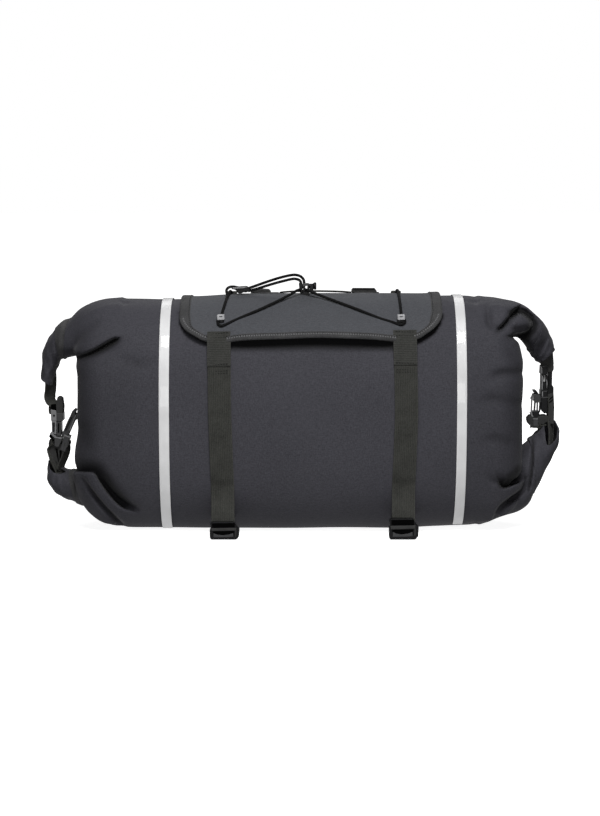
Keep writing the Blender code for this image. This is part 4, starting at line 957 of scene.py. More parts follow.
# ---- turned cuffs of the sleeves ------------------------------------------------------------
def cuff(name, where, start, end_front, end_back, grow, thick=1.4, vee=0.0, n=46, m=88):
    """Open tube of cloth from section `start` to the mouth; each pair is (outer edge, inner edge)."""
    rows, at = sleeve_rows(where, 14)
    theta = 2 * np.pi * np.arange(m) / m
    c, s = np.cos(theta), np.sin(theta)
    cc, ss = np.sign(c) * np.abs(c) ** 0.8, np.sign(s) * np.abs(s) ** 0.8
    w = (c + 1) / 2
    t0 = start[1] + (start[0] - start[1]) * w
    front_end = end_front[1] + (end_front[0] - end_front[1]) * w
    front_end = front_end - vee * (1 - np.abs(2 * w - 1) ** 1.3)
    back_end = end_back[1] + (end_back[0] - end_back[1]) * w
    wf = smoothstep(-s, -0.35, 0.45)
    t1 = back_end * (1 - wf) + front_end * wf

    def ring(k, g):
        t = t0 + (t1 - t0) * k
        r = np.stack([np.interp(t, at, rows[:, q]) for q in range(6)], 1)
        outer, inner = r[:, 0:2], r[:, 2:4]
        centre = (outer + inner) / 2
        half = np.linalg.norm(outer - inner, axis=1) / 2
        d = (outer - inner) / (2 * half)[:, None]
        wave = 0.35 * np.sin(3 * theta + 5 * t) + 0.25 * np.sin(7 * theta - 3 * t)
        xz = centre + d * ((half + g + wave) * cc)[:, None]
        y = r[:, 5] + (r[:, 4] / 2 + g + wave) * ss
        z = np.maximum(xz[:, 1], 0.4)
        return np.stack([xz[:, 0], y, z], 1)

    ks = np.linspace(0, 1, n)
    rings = [ring(k, grow) for k in ks] + [ring(1.012, grow - thick * 0.5)]
    rings += [ring(k, grow - thick) for k in ks[::-1]] + [ring(-0.01, grow - thick * 0.5)]
    verts = np.concatenate(rings)
    px, py = picture(verts[:, 0], verts[:, 1], verts[:, 2])
    side = "left" if where.endswith("left") else "right"
    verts[:, 1] += np.minimum(fold_amount(px, py, side), 5.0) * smoothstep(-verts[:, 1], 4.0, 20.0)
    total = len(rings)
    faces = grid_faces(total, m, True)
    last = (total - 1) * m
    j = np.arange(m)
    faces = np.vstack([faces, np.stack([last + j, last + (j + 1) % m, (j + 1) % m, j], 1)])
    ob = outward(mesh_object(name, verts, faces, sharp=55))
    # painted shade of the folds in the cuff's colour
    shade_mesh(ob, painted_shade_of(verts, side) if len(ob.data.vertices) == len(verts) else np.zeros(len(ob.data.vertices)))
    give(ob, BAND_CLOTH if name.endswith("band") else BODY_CLOTH, "bag_fabric")
    return ob


cuff("cuff_top_left_band", "top_left", (4.9, 5.95), (6.8, 6.95), (6.8, 6.95), 1.1)
cuff("cuff_top_left", "top_left", (6.3, 6.4), (11.0, 11.0), (11.0, 11.0), 0.1)
cuff("cuff_bottom_left_band", "bottom_left", (4.05, 4.25), (4.5, 4.95), (4.6, 4.6), 1.1)
cuff("cuff_bottom_left", "bottom_left", (4.2, 4.2), (10.0, 5.0), (10.0, 8.6), 0.2, vee=-1.0)
cuff("cuff_top_right", "top_right", (6.1, 6.1), (9.0, 9.0), (9.0, 9.0), 0.6)
cuff("cuff_bottom_right", "bottom_right", (4.75, 6.0), (9.7, 9.5), (10.0, 10.0), 1.1, vee=2.2)

# ---- reflective bands -----------------------------------------------------------------------
for side, (x, width) in {"left": (-144.0, 10.9), "right": (171.4, 10.5)}.items():
    path = np.array([skin(x, s, 1.15) for s in np.linspace(-313, 313, 300)])
    verts, faces, coords = sweep(path, (1, 0, 0), strap_profile(width, 0.9, 5))
    give(mesh_object(f"reflective_band_{side}_tape", verts, faces, coords=coords), TAPE, "reflective_tape",
         f"reflective_band_{side}")

# ---- flap -----------------------------------------------------------------------------------
FLAP_LIFT, FLAP_T = 0.9, 1.5
EDGE = np.array([
    (-128.1, 54), (-127.6, 62), (-125.7, 70), (-120.5, 78.5), (-112.2, 85), (-98.6, 91.8), (-73.5, 94.4),
    (-28.6, 94.0), (17.0, 93.2), (59.3, 93.6), (98.5, 94.6), (123.3, 91.8), (133.4, 86.5), (141.7, 80),
    (148.0, 70.5), (150.8, 61), (151.4, 52)], float)
BACK_S = -60.0
STRAPS = {"left": (-86.0, -84.8, -82.0), "right": (111.0, 112.6, 110.0)}


def flap_lift(x, s):
    """The flap stands off more and more towards its lower edge, except where the straps hold it."""
    flare = 7.6 * smoothstep(np.asarray(s, float), 56, 93)
    hold = sum(np.exp(-((x - xs[0]) / 20.0) ** 2) for xs in STRAPS.values())
    wave = 0.35 * np.sin(np.asarray(x) / 15.0) * smoothstep(np.asarray(s, float), 40, 92)
    side = 0.8 * smoothstep(np.abs(np.asarray(x) - 11.6), 118, 140)
    return FLAP_LIFT + np.maximum(flare * (1 - 0.75 * np.minimum(hold, 1)) + wave * (1 - np.minimum(hold, 1)), 0) + side


def outline_curve():
    """The flap's edge from the rear left corner round the front to the rear right, as (x, s)."""
    front = smooth_path(EDGE, count=240)
    left = [(EDGE[0, 0], s) for s in np.linspace(BACK_S, EDGE[0, 1], 80)[:-1]]
    right = [(EDGE[-1, 0], s) for s in np.linspace(EDGE[-1, 1], BACK_S, 80)[1:]]
    return np.array(left + [tuple(p) for p in front] + right)


RIM = outline_curve()
xs_flap = np.unique(np.concatenate([np.linspace(EDGE[0, 0], EDGE[0, 0] + 3, 3), np.linspace(EDGE[0, 0] + 3, EDGE[-1, 0] - 3, 110),
                                    np.linspace(EDGE[-1, 0] - 3, EDGE[-1, 0], 3)]))
front = smooth_path(EDGE, count=600)
order = np.argsort(front[:, 0])
edge_s = np.interp(xs_flap, front[order, 0], front[order, 1])
cols = 80
sheets = []
for lift in (FLAP_T, 0.0):
    rows = []
    for x, es in zip(xs_flap, edge_s):
        rows.append([skin(x, s, float(flap_lift(x, s)) + lift) for s in np.linspace(BACK_S, es, cols)])
    sheets.append(np.array(rows))
n_rows = len(xs_flap)
pile = Pile()
upper, lower = sheets
coords = np.array([[(x, s, 0) for s in np.linspace(BACK_S, es, cols)] for x, es in zip(xs_flap, edge_s)]).reshape(-1, 3)
verts = np.concatenate([upper.reshape(-1, 3), lower.reshape(-1, 3)])
g = grid_faces(n_rows, cols)
faces = [g[:, ::-1], g + n_rows * cols]
border = np.concatenate([np.arange(cols), (np.arange(1, n_rows) * cols + cols - 1),
                         ((n_rows - 1) * cols + np.arange(cols - 2, -1, -1)), (np.arange(n_rows - 2, 0, -1) * cols)])
nxt = np.roll(border, -1)
faces.append(np.stack([border, nxt, nxt + n_rows * cols, border + n_rows * cols], 1))
flap = outward(mesh_object("flap_cloth", verts, np.concatenate(faces), coords=np.concatenate([coords, coords]), sharp=60))
give(flap, FLAP_CLOTH, "flap_fabric", "flap")

# binding: a folded tape round the edge
BIND_W = 10.6
along = np.gradient(RIM, axis=0)
inward = np.stack([along[:, 1], -along[:, 0]], 1)
inward /= np.linalg.norm(inward, axis=1)[:, None]
profile = []   # columns: distance inwards from the edge, height over the flap's upper face
for u in np.linspace(BIND_W, 1.2, 9):
    profile.append((u, 1.15 - 0.12 * abs(math.sin(u * 1.3))))
for a in np.linspace(70, -70, 7):
    profile.append((0.6 - 1.55 * math.cos(math.radians(a)), -0.75 + 1.75 * math.sin(math.radians(a))))
for u in (2.0, 5.0, BIND_W):
    profile.append((u, -FLAP_T - 0.35))
profile.append((BIND_W + 0.1, -0.3))
rows, coords = [], []
run = np.concatenate([[0], np.cumsum(np.linalg.norm(np.diff(RIM, axis=0), axis=1))])
lower_edge = smoothstep(RIM[:, 1], 66, 88)
for (x, s), d, r, low in zip(RIM, inward, run, lower_edge):
    for u, h in profile:
        u = u if u < 1.2 else 1.2 + (u - 1.2) * (1 - 0.56 * low)
        xx, ss = x + d[0] * u, s + d[1] * u
        rows.append(skin(xx, ss, max(float(flap_lift(xx, ss)) + FLAP_T + h, 0.35)))
        coords.append((u - BIND_W / 2, r, h))
binding = outward(mesh_object("flap_binding_tape", np.array(rows), grid_faces(len(RIM), len(profile), True),
                              coords=np.array(coords), sharp=70))
give(binding, BINDING, "binding_tape", "flap_binding")


# ---- stitches -------------------------------------------------------------------------------
def stitch_mesh(pile, at, along, normal, length=2.1, radius=0.38):
    """One short thread lying on the cloth."""
    along = along / np.linalg.norm(along)
    normal = normal - (normal @ along) * along
    normal /= np.linalg.norm(normal)
    across = np.cross(normal, along)
    rings = []
    for t, r in ((-0.5, 0.25), (-0.38, 0.8), (0.0, 1.0), (0.38, 0.8), (0.5, 0.25)):
        for k in range(6):
            a = math.pi * 2 * k / 6
            drop = -0.25 * (2 * t) ** 2
            rings.append(at + along * (t * length) + across * (radius * r * math.cos(a)) + normal * (radius * (r * math.sin(a) + drop)))
    faces = grid_faces(5, 6, True)
    caps = np.array([[3, 2, 1, 0], [5, 4, 3, 0], [24, 25, 26, 27], [24, 27, 28, 29]])
    pile.add(rings, np.concatenate([faces, caps]))


def skin_stitches(pile, rows, pitch, lift_of, slant=0.0, length=2.1, radius=0.38):
    """Stitches along a line of (x, s); slant turns each one against the line."""
    line = smooth_path(rows, step=pitch)
    for k in range(1, len(line) - 1):
        (x, s), d = line[k], line[k + 1] - line[k - 1]
        a = math.atan2(d[1], d[0]) + slant
        h = lift_of(x, s)
        p = skin(x, s, h)
        q = skin(x + math.cos(a), s + math.sin(a), h)
        up = skin(x, s, h + 1) - p
        stitch_mesh(pile, p, q - p, up, length, radius)


seams = Pile()
inner_line = RIM + inward * (1.2 + (BIND_W - 1.2) * (1 - 0.56 * smoothstep(RIM[:, 1], 66, 88)) - 1.4)[:, None]
outer_line = RIM + inward * 2.9
on_binding = lambda x, s: float(flap_lift(x, s)) + FLAP_T + 1.15
skin_stitches(seams, inner_line[::4], 3.0, on_binding, 0.0, 2.1, 0.34)
front_part = (RIM[:, 1] > 60)
zigzag = Pile()
skin_stitches(zigzag, outer_line[front_part][::4], 2.6, on_binding, 0.85, 2.6, 0.34)
skin_stitches(zigzag, outer_line[front_part][::4], 2.6, on_binding, -0.85, 2.6, 0.34)
give(zigzag.object("binding_zigzag"), THREAD_LIGHT, "binding_tape")

# ---- closing straps -------------------------------------------------------------------------
LOCK_FOOT = np.array((0, -100.5, 2.6))
LOCK_UP = np.array((0, 0.30, 0.954)) / math.hypot(0.30, 0.954)
LOCK_BACK = np.array((0, 0.954, -0.30)) / math.hypot(0.30, 0.954)
WEB, WEB_T = 25.0, 1.3


def lock_point(x, up, back_):
    return np.array((x, 0, 0)) + LOCK_FOOT + LOCK_UP * up + LOCK_BACK * back_


for side, (x_top, x_mid, x_foot) in STRAPS.items():
    high = 0.8 + 1.5 + 0.6 + 1.0 + 0.6 + WEB_T / 2
    rows = [(84, high), (88, high), (92.5, high), (96, high - 0.5), (101, high - 1.5), (108, high - 2.6),
            (116, 2.0), (130, 1.8), (150, 1.75), (172, 1.75), (196, 1.75), (218, 1.75), (236, 1.8), (250, 1.9)]
    pts = [skin(float(np.interp(s, (84, 170, 262), (x_top, x_mid, x_foot))), s, lift) for s, lift in rows]
    pts += [lock_point(x_foot, u, v) for u, v in (
        (33, 3.8), (26, 3.2), (20.5, 3.0), (15.5, 3.2), (11.0, 3.6), (7.6, 4.2))]
    path = smooth_path(pts, step=1.2)
    verts, faces, coords = sweep(path, (1, 0, 0), strap_profile(WEB - 0.4, WEB_T, 13))
    give(mesh_object(f"front_strap_{side}_webbing", verts, faces, coords=coords), STRAP, "webbing", f"front_strap_{side}")
    # the doubled upper part, sewn to the flap's edge
    rows = [(83.0, high), (88, high), (92.5, high), (96, high - 0.5), (101, high - 1.5), (108, high - 2.6), (115, 2.1), (119.5, 1.9)]
    pts = [skin(float(np.interp(s, (84, 170, 262), (x_top, x_mid, x_foot))), s, lift + 1.1) for s, lift in rows]
    verts, faces, coords = sweep(smooth_path(pts, step=1.0), (1, 0, 0), strap_profile(WEB, 0.9, 13))
    give(mesh_object(f"front_strap_{side}_top_layer", verts, faces, coords=coords), STRAP_FINE, "webbing")
    lift_top = lambda x, s: float(np.interp(s, (84, 92.5, 96, 101, 108, 115, 121), (high, high, high - .5, high - 1.5, high - 2.6, 2.1, 1.9))) + 1.65
    for s_row in (85.2, 89.6, 117.6):
        skin_stitches(seams, [(x_top - 11.5, s_row), (x_top, s_row), (x_top + 11.5, s_row)], 2.6, lift_top, 0.0, 1.9, 0.34)
    on_strap = lambda x, s: 2.55
    for s_row in (124.5, 127.0):
        skin_stitches(seams, [(x_top - 10.8, s_row), (x_top + .2, s_row), (x_top + 11.2, s_row)], 2.6, on_strap, 0.0, 1.9, 0.32)
    under = [lock_point(x_foot, u, v) for u, v in (
        (9.0, 6.4), (6.0, 6.2), (3.0, 5.8), (0.8, 6.2))]
    under += [np.array((x_foot, -88.0, 3.8)), np.array((x_foot, -78.0, 7.2)), skin(x_foot, 292, 1.3),
              skin(x_foot, 300, 1.15), skin(x_foot, 312, 1.1)]
    verts, faces, coords = sweep(smooth_path(under, step=1.0), (1, 0, 0), strap_profile(WEB - 1.4, WEB_T, 11))
    give(mesh_object(f"under_strap_{side}_webbing", verts, faces, coords=coords), STRAP, "webbing", f"under_strap_{side}")

# ---- elastic cord ---------------------------------------------------------------------------
ON_FLAP = 0.8 + 1.5 + 0.3 + 1.5 + 0.1
LOCK_Y = -13.5
HOLE_X = (1.2, 4.6)


def hole_point(k, z):
    return (HOLE_X[k], LOCK_Y + 0.2 + 0.42 * (z - 264.2), z)


ROUTE = {
    "left": [(-75.0, -22, .3), (-76.0, -8, 1.2), (-76.6, 6, 1.4), (-78.0, 22, .3), (-80.3, 42, 0), (-83.0, 58, .2),
             (-84.2, 65, .4), (-86.9, 70.0, .8), (-87.0, 73.2, .8), (-83.8, 75.8, .8), (-79.0, 74.6, .7),
             (-73, 71.6, .3), (-62, 66.2, 0), (-43.2, 55.8, 0), (-25, 43.0, .6), (-11.0, 31.0, 2.4), (-4.0, 24.0, 4.4)],
    "right": [(106.0, -22, .3), (106.4, -8, 1.2), (106.6, 6, 1.4), (106.8, 22, .3), (107.2, 42, 0), (107.8, 58, .2),
              (108.2, 65, .4), (111.2, 70.0, .8), (111.3, 73.2, .8), (107.8, 75.9, .8), (102.6, 74.8, .7),
              (96, 72.2, .3), (85, 68.2, 0), (62, 56.2, 0), (40, 43.4, .3), (20, 31.0, 2.2), (9.6, 24.0, 4.4)],
}
TAIL = {
    "left": [hole_point(0, 261.4), hole_point(0, 266.6), (0.0, LOCK_Y + 1.6, 269.8),
             (-3.4, LOCK_Y + 1.4, 271.6), (-9.0, LOCK_Y + 1.2, 271.7), (-22.0, LOCK_Y + 0.8, 268.6),
             (-36.0, LOCK_Y + 0.8, 264.6), (-46.0, LOCK_Y + 0.6, 261.4), (-56.4, LOCK_Y + 0.3, 258.7)],
    "right": [hole_point(1, 261.4), hole_point(1, 266.8), (3.6, LOCK_Y + 1.9, 271.6),
              (-0.6, LOCK_Y + 1.8, 275.2), (-8.0, LOCK_Y + 1.5, 276.2), (-22.0, LOCK_Y + 0.8, 273.2),
              (-36.0, LOCK_Y + 0.8, 268.8), (-47.0, LOCK_Y + 0.6, 264.9), (-56.4, LOCK_Y + 0.3, 261.6)],
}


def cord_mesh(name, points, radius, replaces, step=0.9):
    path = smooth_path(points, step=step)
    ahead = np.gradient(path, axis=0)
    ahead /= np.linalg.norm(ahead, axis=1)[:, None]
    side_dir = np.zeros_like(path)
    v = np.array([0.0, 1.0, 0.3])
    for k in range(len(path)):
        v = v - (v @ ahead[k]) * ahead[k]
        v /= np.linalg.norm(v)
        side_dir[k] = v
    verts, faces, coords = sweep(path, side_dir, tube_profile(radius, 12))
    m = 12
    angle = np.tile(2 * np.pi * np.arange(m) / m, len(path))
    coords[:len(angle), 0] = angle
    ob = mesh_object(name, verts, faces, coords=coords)
    give(ob, CORD, "elastic_cord", replaces)
    run = float(np.linalg.norm(np.diff(path, axis=0), axis=1).sum())
    if run < 30.0:      # a sewn loop, not a cord
        return run
    return run


CORD_LENGTH = {}
for side, rows in ROUTE.items():
    pts = [tuple(skin(x, s, ON_FLAP + extra)) for x, s, extra in rows] + TAIL[side]
    CORD_LENGTH[side] = cord_mesh(f"bungee_cord_{side}_braid", pts, 1.5, f"bungee_cord_{side}")
CORD_LENGTH["loop"] = cord_mesh("cord_tail_loop_braid", [
    unpicture(238.5, 287.6, -13.0), unpicture(233.5, 286.7, -13.5), unpicture(229.2, 287.2, -14.5), unpicture(226.7, 289.5, -16.0),
    unpicture(226.6, 292.3, -19.0), unpicture(227.6, 295.0, -23.0)], 1.5, "cord_tail_loop", 0.6)
print("cord lengths mm", {k: round(v, 1) for k, v in CORD_LENGTH.items()})

# ---- end closures: webbing at the buckles ---------------------------------------------------
PAIRS = {
    "left": dict(origin=(-268.0, 0, 104.0), along=(-0.045, 0.06, 1.0), across=(0.224, 0.911, -0.348)),
    "right": dict(origin=(271.6, 0, 150.0), along=(0.0, 0.05, 1.0), across=(0.22, 0.93, -0.28)),
}
LOOSE = {
    "left": dict(origin=(-255.2, 0, 101.0), along=(0.33, 0.0, 0.944), across=(0.16, 0.97, -0.10)),
    "right": dict(origin=(258.6, 0, 149.0), along=(0.03, 0.0, -1.0), across=(-0.15, -0.98, 0.0)),
}


def frame_of(spec):
    y = np.array(spec["along"], float)
    y /= np.linalg.norm(y)
    x = np.array(spec["across"], float)
    x = x - (x @ y) * y
    x /= np.linalg.norm(x)
    return x, y, np.cross(x, y)


def local(spec, across, along_, thick):
    x, y, z = frame_of(spec)
    return np.array(spec["origin"], float) + x * across + y * along_ + z * thick


def around_bar(spec, bar, sign, half):
    r = half + 0.35 + WEB_T / 2
    return [local(spec, 0, bar + sign * 5.2, r), local(spec, 0, bar + sign * 0.9, r),
            local(spec, 0, bar + sign * 0.1, r * 0.72), local(spec, 0, bar - sign * 0.15, r * 0.3),
            local(spec, 0, bar - sign * 0.15, -r * 0.3), local(spec, 0, bar + sign * 0.1, -r * 0.72),
            local(spec, 0, bar + sign * 0.9, -r), local(spec, 0, bar + sign * 5.2, -r)]


def closure_tab(name, spec, bar, sign, half, mouth, tail, turn=(0.45, 0.89, 0.0)):
    lead = list(smooth_path(mouth + [tuple(local(spec, 0, bar + sign * 5.2, half + 0.35 + WEB_T / 2))], count=9))[:-1]
    pts = lead + around_bar(spec, bar, sign, half) + [local(spec, 0, *tail)]
    path = smooth_path(pts, step=0.8)
    run = np.linspace(0, 1, len(path))
    cross = frame_of(spec)[0]
    w = 0.6 * smoothstep(run, 0.45, 0.75)[:, None]
    across = np.array([turn], float) * (1 - w) + cross[None, :] * w
    verts, faces, coords = sweep(path, across, strap_profile(19.6, WEB_T, 11))
    give(mesh_object(name + "_webbing", verts, faces, coords=coords), STRAP, "webbing", name)


closure_tab("closure_tab_top_left", PAIRS["left"], 20.0, 1, 2.0,
            [(-274.0, 0, 172), (-273.6, 0, 160), (-274.2, 0, 149), (-274.6, 0, 139)], (31.0, -2.4), (0.52, 0.85, 0.0))
closure_tab("closure_tab_bottom_left", PAIRS["left"], -8.0, -1, 1.9,
            [(-261.0, -6, 50), (-265.5, -5, 62), (-271.0, -3, 74), (-273.4, -1, 86)], (-14.6, -2.6), (0.40, 0.91, -0.1))
closure_tab("closure_tab_top_right", PAIRS["right"], 20.0, 1, 3.5,
            [(267.0, 0, 198), (269.0, 0, 190), (271.6, 0, 184), (273.6, 0, 180)], (27.6, -4.0), (0.35, 0.93, 0.0))
closure_tab("closure_tab_bottom_right", PAIRS["right"], -8.0, -1, 1.9,
            [(275.0, -10, 86), (275.8, -6, 104), (275.4, 0, 119), (275.0, 0, 130)], (-17.0, -2.0), (0.35, 0.93, 0.1))
closure_tab("loose_tab_left", LOOSE["left"], -8.0, -1, 1.9,
            [(-264.4, -6, 60.0), (-262.6, -4, 67.0), (-259.4, -2, 75.0), (-257.2, 0, 82.0)], (-15.5, -2.2), (0.30, 0.95, 0.0))
closure_tab("loose_tab_right", LOOSE["right"], 33.5, 1, 3.0,
            [(270.0, 0, 113.5), (264.0, 0, 112.6), (258.6, 0, 111.2), (255.8, 0, 111.6)], (39.0, -3.2), (0.1, 0.95, 0.22))

# ---- handlebar straps -----------------------------------------------------------------------
BAR_Y, BAR_Z, BAR_R = 113.0, 197.0, 15.9
loop_r = BAR_R + 0.6 + WEB_T / 2
for side, x in {"left": -38.0, "right": 73.0}.items():
    sewn = [skin(x, s, 1.1) for s in (-176, -160, -144, -130)]
    seat = [np.array((x, BAR_Y - 9, BAR_Z - loop_r)), np.array((x, BAR_Y, BAR_Z - loop_r)), np.array((x, BAR_Y + 7, BAR_Z - loop_r))]
    rear = [np.array((x, BAR_Y + loop_r * math.sin(a), BAR_Z - loop_r * math.cos(a)))
            for a in np.radians([48, 68, 88, 108, 128, 148, 168])]
    over = [np.array((x, BAR_Y - 8, BAR_Z + loop_r + 1.5)), np.array((x, BAR_Y - 20, BAR_Z + loop_r + 6)), skin(x, -72, 6.6),
            skin(x, -62, 6.4), skin(x, -50, 6.9)]
    pts = sewn + [np.array((x, 96.0, BAR_Z - loop_r + 2.2))] + seat + rear + over
    verts, faces, coords = sweep(smooth_path(pts, step=1.2), (1, 0, 0), strap_profile(WEB - 0.4, WEB_T, 13))
    give(mesh_object(f"handlebar_strap_{side}_webbing", verts, faces, coords=coords), STRAP, "webbing", f"handlebar_strap_{side}")
    patch_lift = lambda px_, s: 2.1
    for x_row in (x - 9.5, x + 9.5):
        skin_stitches(seams, [(x_row, -174), (x_row, -160), (x_row, -146)], 2.8, patch_lift, 0.0, 2.0, 0.34)
    for s_row in (-174, -146):
        skin_stitches(seams, [(x - 9, s_row), (x, s_row), (x + 9, s_row)], 2.8, patch_lift, 0.0, 2.0, 0.34)

rows = [(-22.6, 6.2), (-18, 7.0), (-6, 7.7), (12, 7.9), (30, 7.8), (48, 7.2), (56.8, 6.4)]
pts = [skin(x, -33.0, lift) for x, lift in rows]
across = np.array((0.0, 1.0, -0.10))
verts, faces, coords = sweep(smooth_path(pts, step=1.2), across, strap_profile(18.0, 1.3, 9))
give(mesh_object("rear_web_strap_webbing", verts, faces, coords=coords), STRAP, "webbing", "rear_web_strap")

give(seams.object("seam_stitches"), THREAD, "webbing")

# ---- moulded parts that are drawn on the picture plane ---------------------------------------
def moulding(name, outline, y_front, y_back, mat, slot="black_plastic", replaces=(), edge=0.35, low=0.25):
    """A prism with rounded edges; its outline is given in px and it runs straight back in Y."""
    front = np.array([unpicture(px, py, y_front) for px, py in outline])
    front[:, 2] = np.maximum(front[:, 2], low)
    rear = front + np.array([0.0, y_back - y_front, 0.0])
    bm = bmesh.new()
    a = [bm.verts.new(world(p)) for p in front]
    b = [bm.verts.new(world(p)) for p in rear]
    bm.faces.new(a)
    bm.faces.new(b[::-1])
    for k in range(len(a)):
        bm.faces.new((a[k], b[k], b[(k + 1) % len(a)], a[(k + 1) % len(a)]))
    bmesh.ops.recalc_face_normals(bm, faces=bm.faces)
    if edge > 0:
        bmesh.ops.bevel(bm, geom=list(bm.edges), offset=edge * MM, segments=2, profile=0.5, affect="EDGES", clamp_overlap=True)
    bmesh.ops.triangulate(bm, faces=bm.faces)
    me = bpy.data.meshes.new(name)
    bm.to_mesh(me)
    bm.free()
    ob = bpy.data.objects.new(name, me)
    scene.collection.objects.link(ob)
    give(ob, mat, slot, *replaces)
    return ob


def dot(px, py, r, n=10):
    return [(px + r * math.cos(2 * math.pi * k / n), py + r * math.sin(2 * math.pi * k / n)) for k in range(n)]


def on_skin(px, py, lift):
    """Point of the bag's skin, raised by lift, that is seen at (px, py)."""
    x = (px - 300.0) * 1.07
    for _ in range(3):
        pts = np.array([skin(x, s_, lift) for s_ in np.linspace(10, 200, 400)])
        _, seen = picture(pts[:, 0], pts[:, 1], pts[:, 2])
        p = pts[np.argmin(np.abs(seen - py))]
        x = (px - 300.0) / CAM_F * (CAM_DIST + p[1] * math.cos(CAM_ELEV) - (p[2] - 129.5) * math.sin(CAM_ELEV))
    return p


for side, px0 in (("left", 220.7), ("right", 401.3)):
    y_clip = float(on_skin(px0, 317.5, 4.0)[1])
    moulding(f"cord_clip_{side}_body", [(px0 - 3.8, 314.9), (px0 + 3.6, 314.5), (px0 + 3.9, 319.9), (px0 - 3.6, 320.3)],
             y_clip - 7.5, y_clip + 1.5, GREY, "grey_plastic", (f"cord_clip_{side}",), edge=0.8)
    # painted shade in the clip's slot
    moulding(f"cord_clip_{side}_slot", [(px0 - 1.6, 316.2), (px0 + 1.6, 316.0), (px0 + 1.6, 316.9), (px0 - 1.6, 317.1)],
             y_clip - 7.65, y_clip, HALF_LIGHT_BLACK, "grey_plastic", edge=0)
    moulding(f"cord_anchor_{side}_body", [(px0 - 4.2, 319.9), (px0 + 3.4, 319.6), (px0 + 2.6, 322.6), (px0 - 3.0, 323.6), (px0 - 4.6, 322.4)],
             y_clip - 4.0, y_clip + 1.5, BLACK, "black_plastic", (f"cord_anchor_{side}",), edge=0.6)
# the cord lock: two wings on a black neck
moulding("cord_lock_wing_left", [(298.8, 283.6), (300.4, 282.4), (302.4, 283.6), (302.2, 287.4), (302.6, 291.4), (299.4, 290.6)],
         -18.5, -9.5, BLACK, replaces=("cord_lock",), edge=0.35)
moulding("cord_lock_wing_right", [(309.2, 290.8), (309.6, 288.4), (310.8, 285.8), (312.6, 283.8), (313.4, 283.4), (313.4, 290.4)],
         -18.5, -9.5, BLACK, edge=0.3)
# painted half light on the cap of the cord lock
moulding("cord_lock_cap", [(302.2, 284.2), (304.4, 283.2), (308.8, 283.0), (309.2, 285.2), (306.4, 286.0), (302.6, 286.6)],
         -20.5, -16.6, HALF_LIGHT_BLACK, edge=0.35)
moulding("cord_lock_post_left", [(302.9, 286.2), (304.2, 286.0), (305.2, 289.2), (305.4, 292.4), (302.9, 292.4)], -19.6, -16.6, BLACK, edge=0.3)
moulding("cord_lock_post_right", [(307.4, 285.8), (308.8, 285.0), (309.4, 289.0), (309.4, 292.4), (306.8, 292.4)], -19.6, -16.6, BLACK, edge=0.3)
moulding("cord_lock_bridge", [(303.0, 291.0), (309.4, 290.8), (309.6, 296.0), (303.2, 296.2)], -19.6, -9.0, BLACK, edge=0.4)
# the pull tab at the cord's end
moulding("cord_pull_tab_body", [(231.6, 287.2), (238.0, 286.6), (246.2, 285.9), (248.2, 286.9), (250.2, 289.4), (249.6, 291.4), (246.0, 292.6),
                                (243.4, 292.4), (241.6, 293.4), (238.6, 293.6), (237.2, 292.4), (236.2, 290.6), (234.2, 289.5), (231.6, 289.3)],
         -16.2, -10.4, BLACK, replaces=("cord_pull_tab",), edge=0.7)
# painted highlight along the pull tab's upper part
moulding("cord_pull_tab_ridge", [(232.4, 287.7), (240.0, 287.0), (246.0, 286.6), (247.2, 287.4), (243.0, 288.5), (236.0, 289.0), (232.4, 288.9)],
         -16.8, -15.0, HIGHLIGHT_BLACK, edge=0.4)
# left: fastened pair; its lit and half-lit black parts are painted highlights and painted half light, the black prisms
# in its slots and gaps painted shadow
moulding("pair_left_leaf", [(57.3, 397.1), (59.6, 397.2), (61.8, 398.8), (63, 407.1), (62.6, 413.3), (56.4, 413.6), (55.9, 404.3)],
         -9, 9, FOLDED, "webbing", edge=0.5)
moulding("pair_left_slot", [(51, 404.6), (56, 405.2), (56.2, 410.4), (51, 409.6)], -9.5, 9, SHADOW_BLACK)
moulding("pair_left_block", [(50.5, 409.4), (56.3, 410.8), (56.7, 420.9), (51, 420.9)], -11, 10, HIGHLIGHT_BLACK, replaces=("buckle_female_left",), edge=0.5)
moulding("pair_left_hole", dot(54.0, 415.6, 1.15), -11.25, -10.5, BLACK, edge=0)
moulding("pair_left_side", [(56.5, 413.1), (62.7, 413.3), (62.9, 421.2), (56.7, 421.2)], -10.4, 10, HALF_LIGHT_BLACK, edge=0.5)
moulding("pair_left_bar", [(51.4, 420.7), (56.5, 420.7), (56.3, 434.2), (51.7, 433.7)], -10.4, 9, HIGHLIGHT_BLACK, edge=0.4)
moulding("pair_left_bar_slot", [(52.5, 422.4), (55.0, 422.6), (54.6, 432.6), (52.8, 432)], -10.7, -9.9, BLACK, edge=0)
moulding("pair_left_prong", [(56.7, 421.2), (60.8, 421.2), (61, 436), (56.9, 436)], -9.6, 9, HALF_LIGHT_BLACK, replaces=("buckle_male_left",), edge=0.5)
moulding("pair_left_prong_slot", [(57.9, 423), (59.3, 423), (59.3, 433), (57.9, 432.4)], -9.9, -9.2, SHADOW_BLACK, edge=0)
moulding("pair_left_ledge", [(49.4, 433.5), (51.8, 433), (56.2, 436), (55, 438)], -10.6, 8, HIGHLIGHT_BLACK, edge=0.25)
moulding("pair_left_gap", [(49.4, 434.9), (54.7, 438.4), (54.3, 441), (49.1, 437.2)], -9.8, 8, SHADOW_BLACK, edge=0)
moulding("pair_left_band", [(49.4, 439.4), (54.4, 441.6), (55.2, 447.0), (57.0, 456), (58.4, 463), (55.4, 462.4), (52.2, 458.6), (50.0, 455.6),
                            (48.7, 449), (48.4, 443.4)], -6.5, 6, FOLDED, "webbing", edge=0.5)
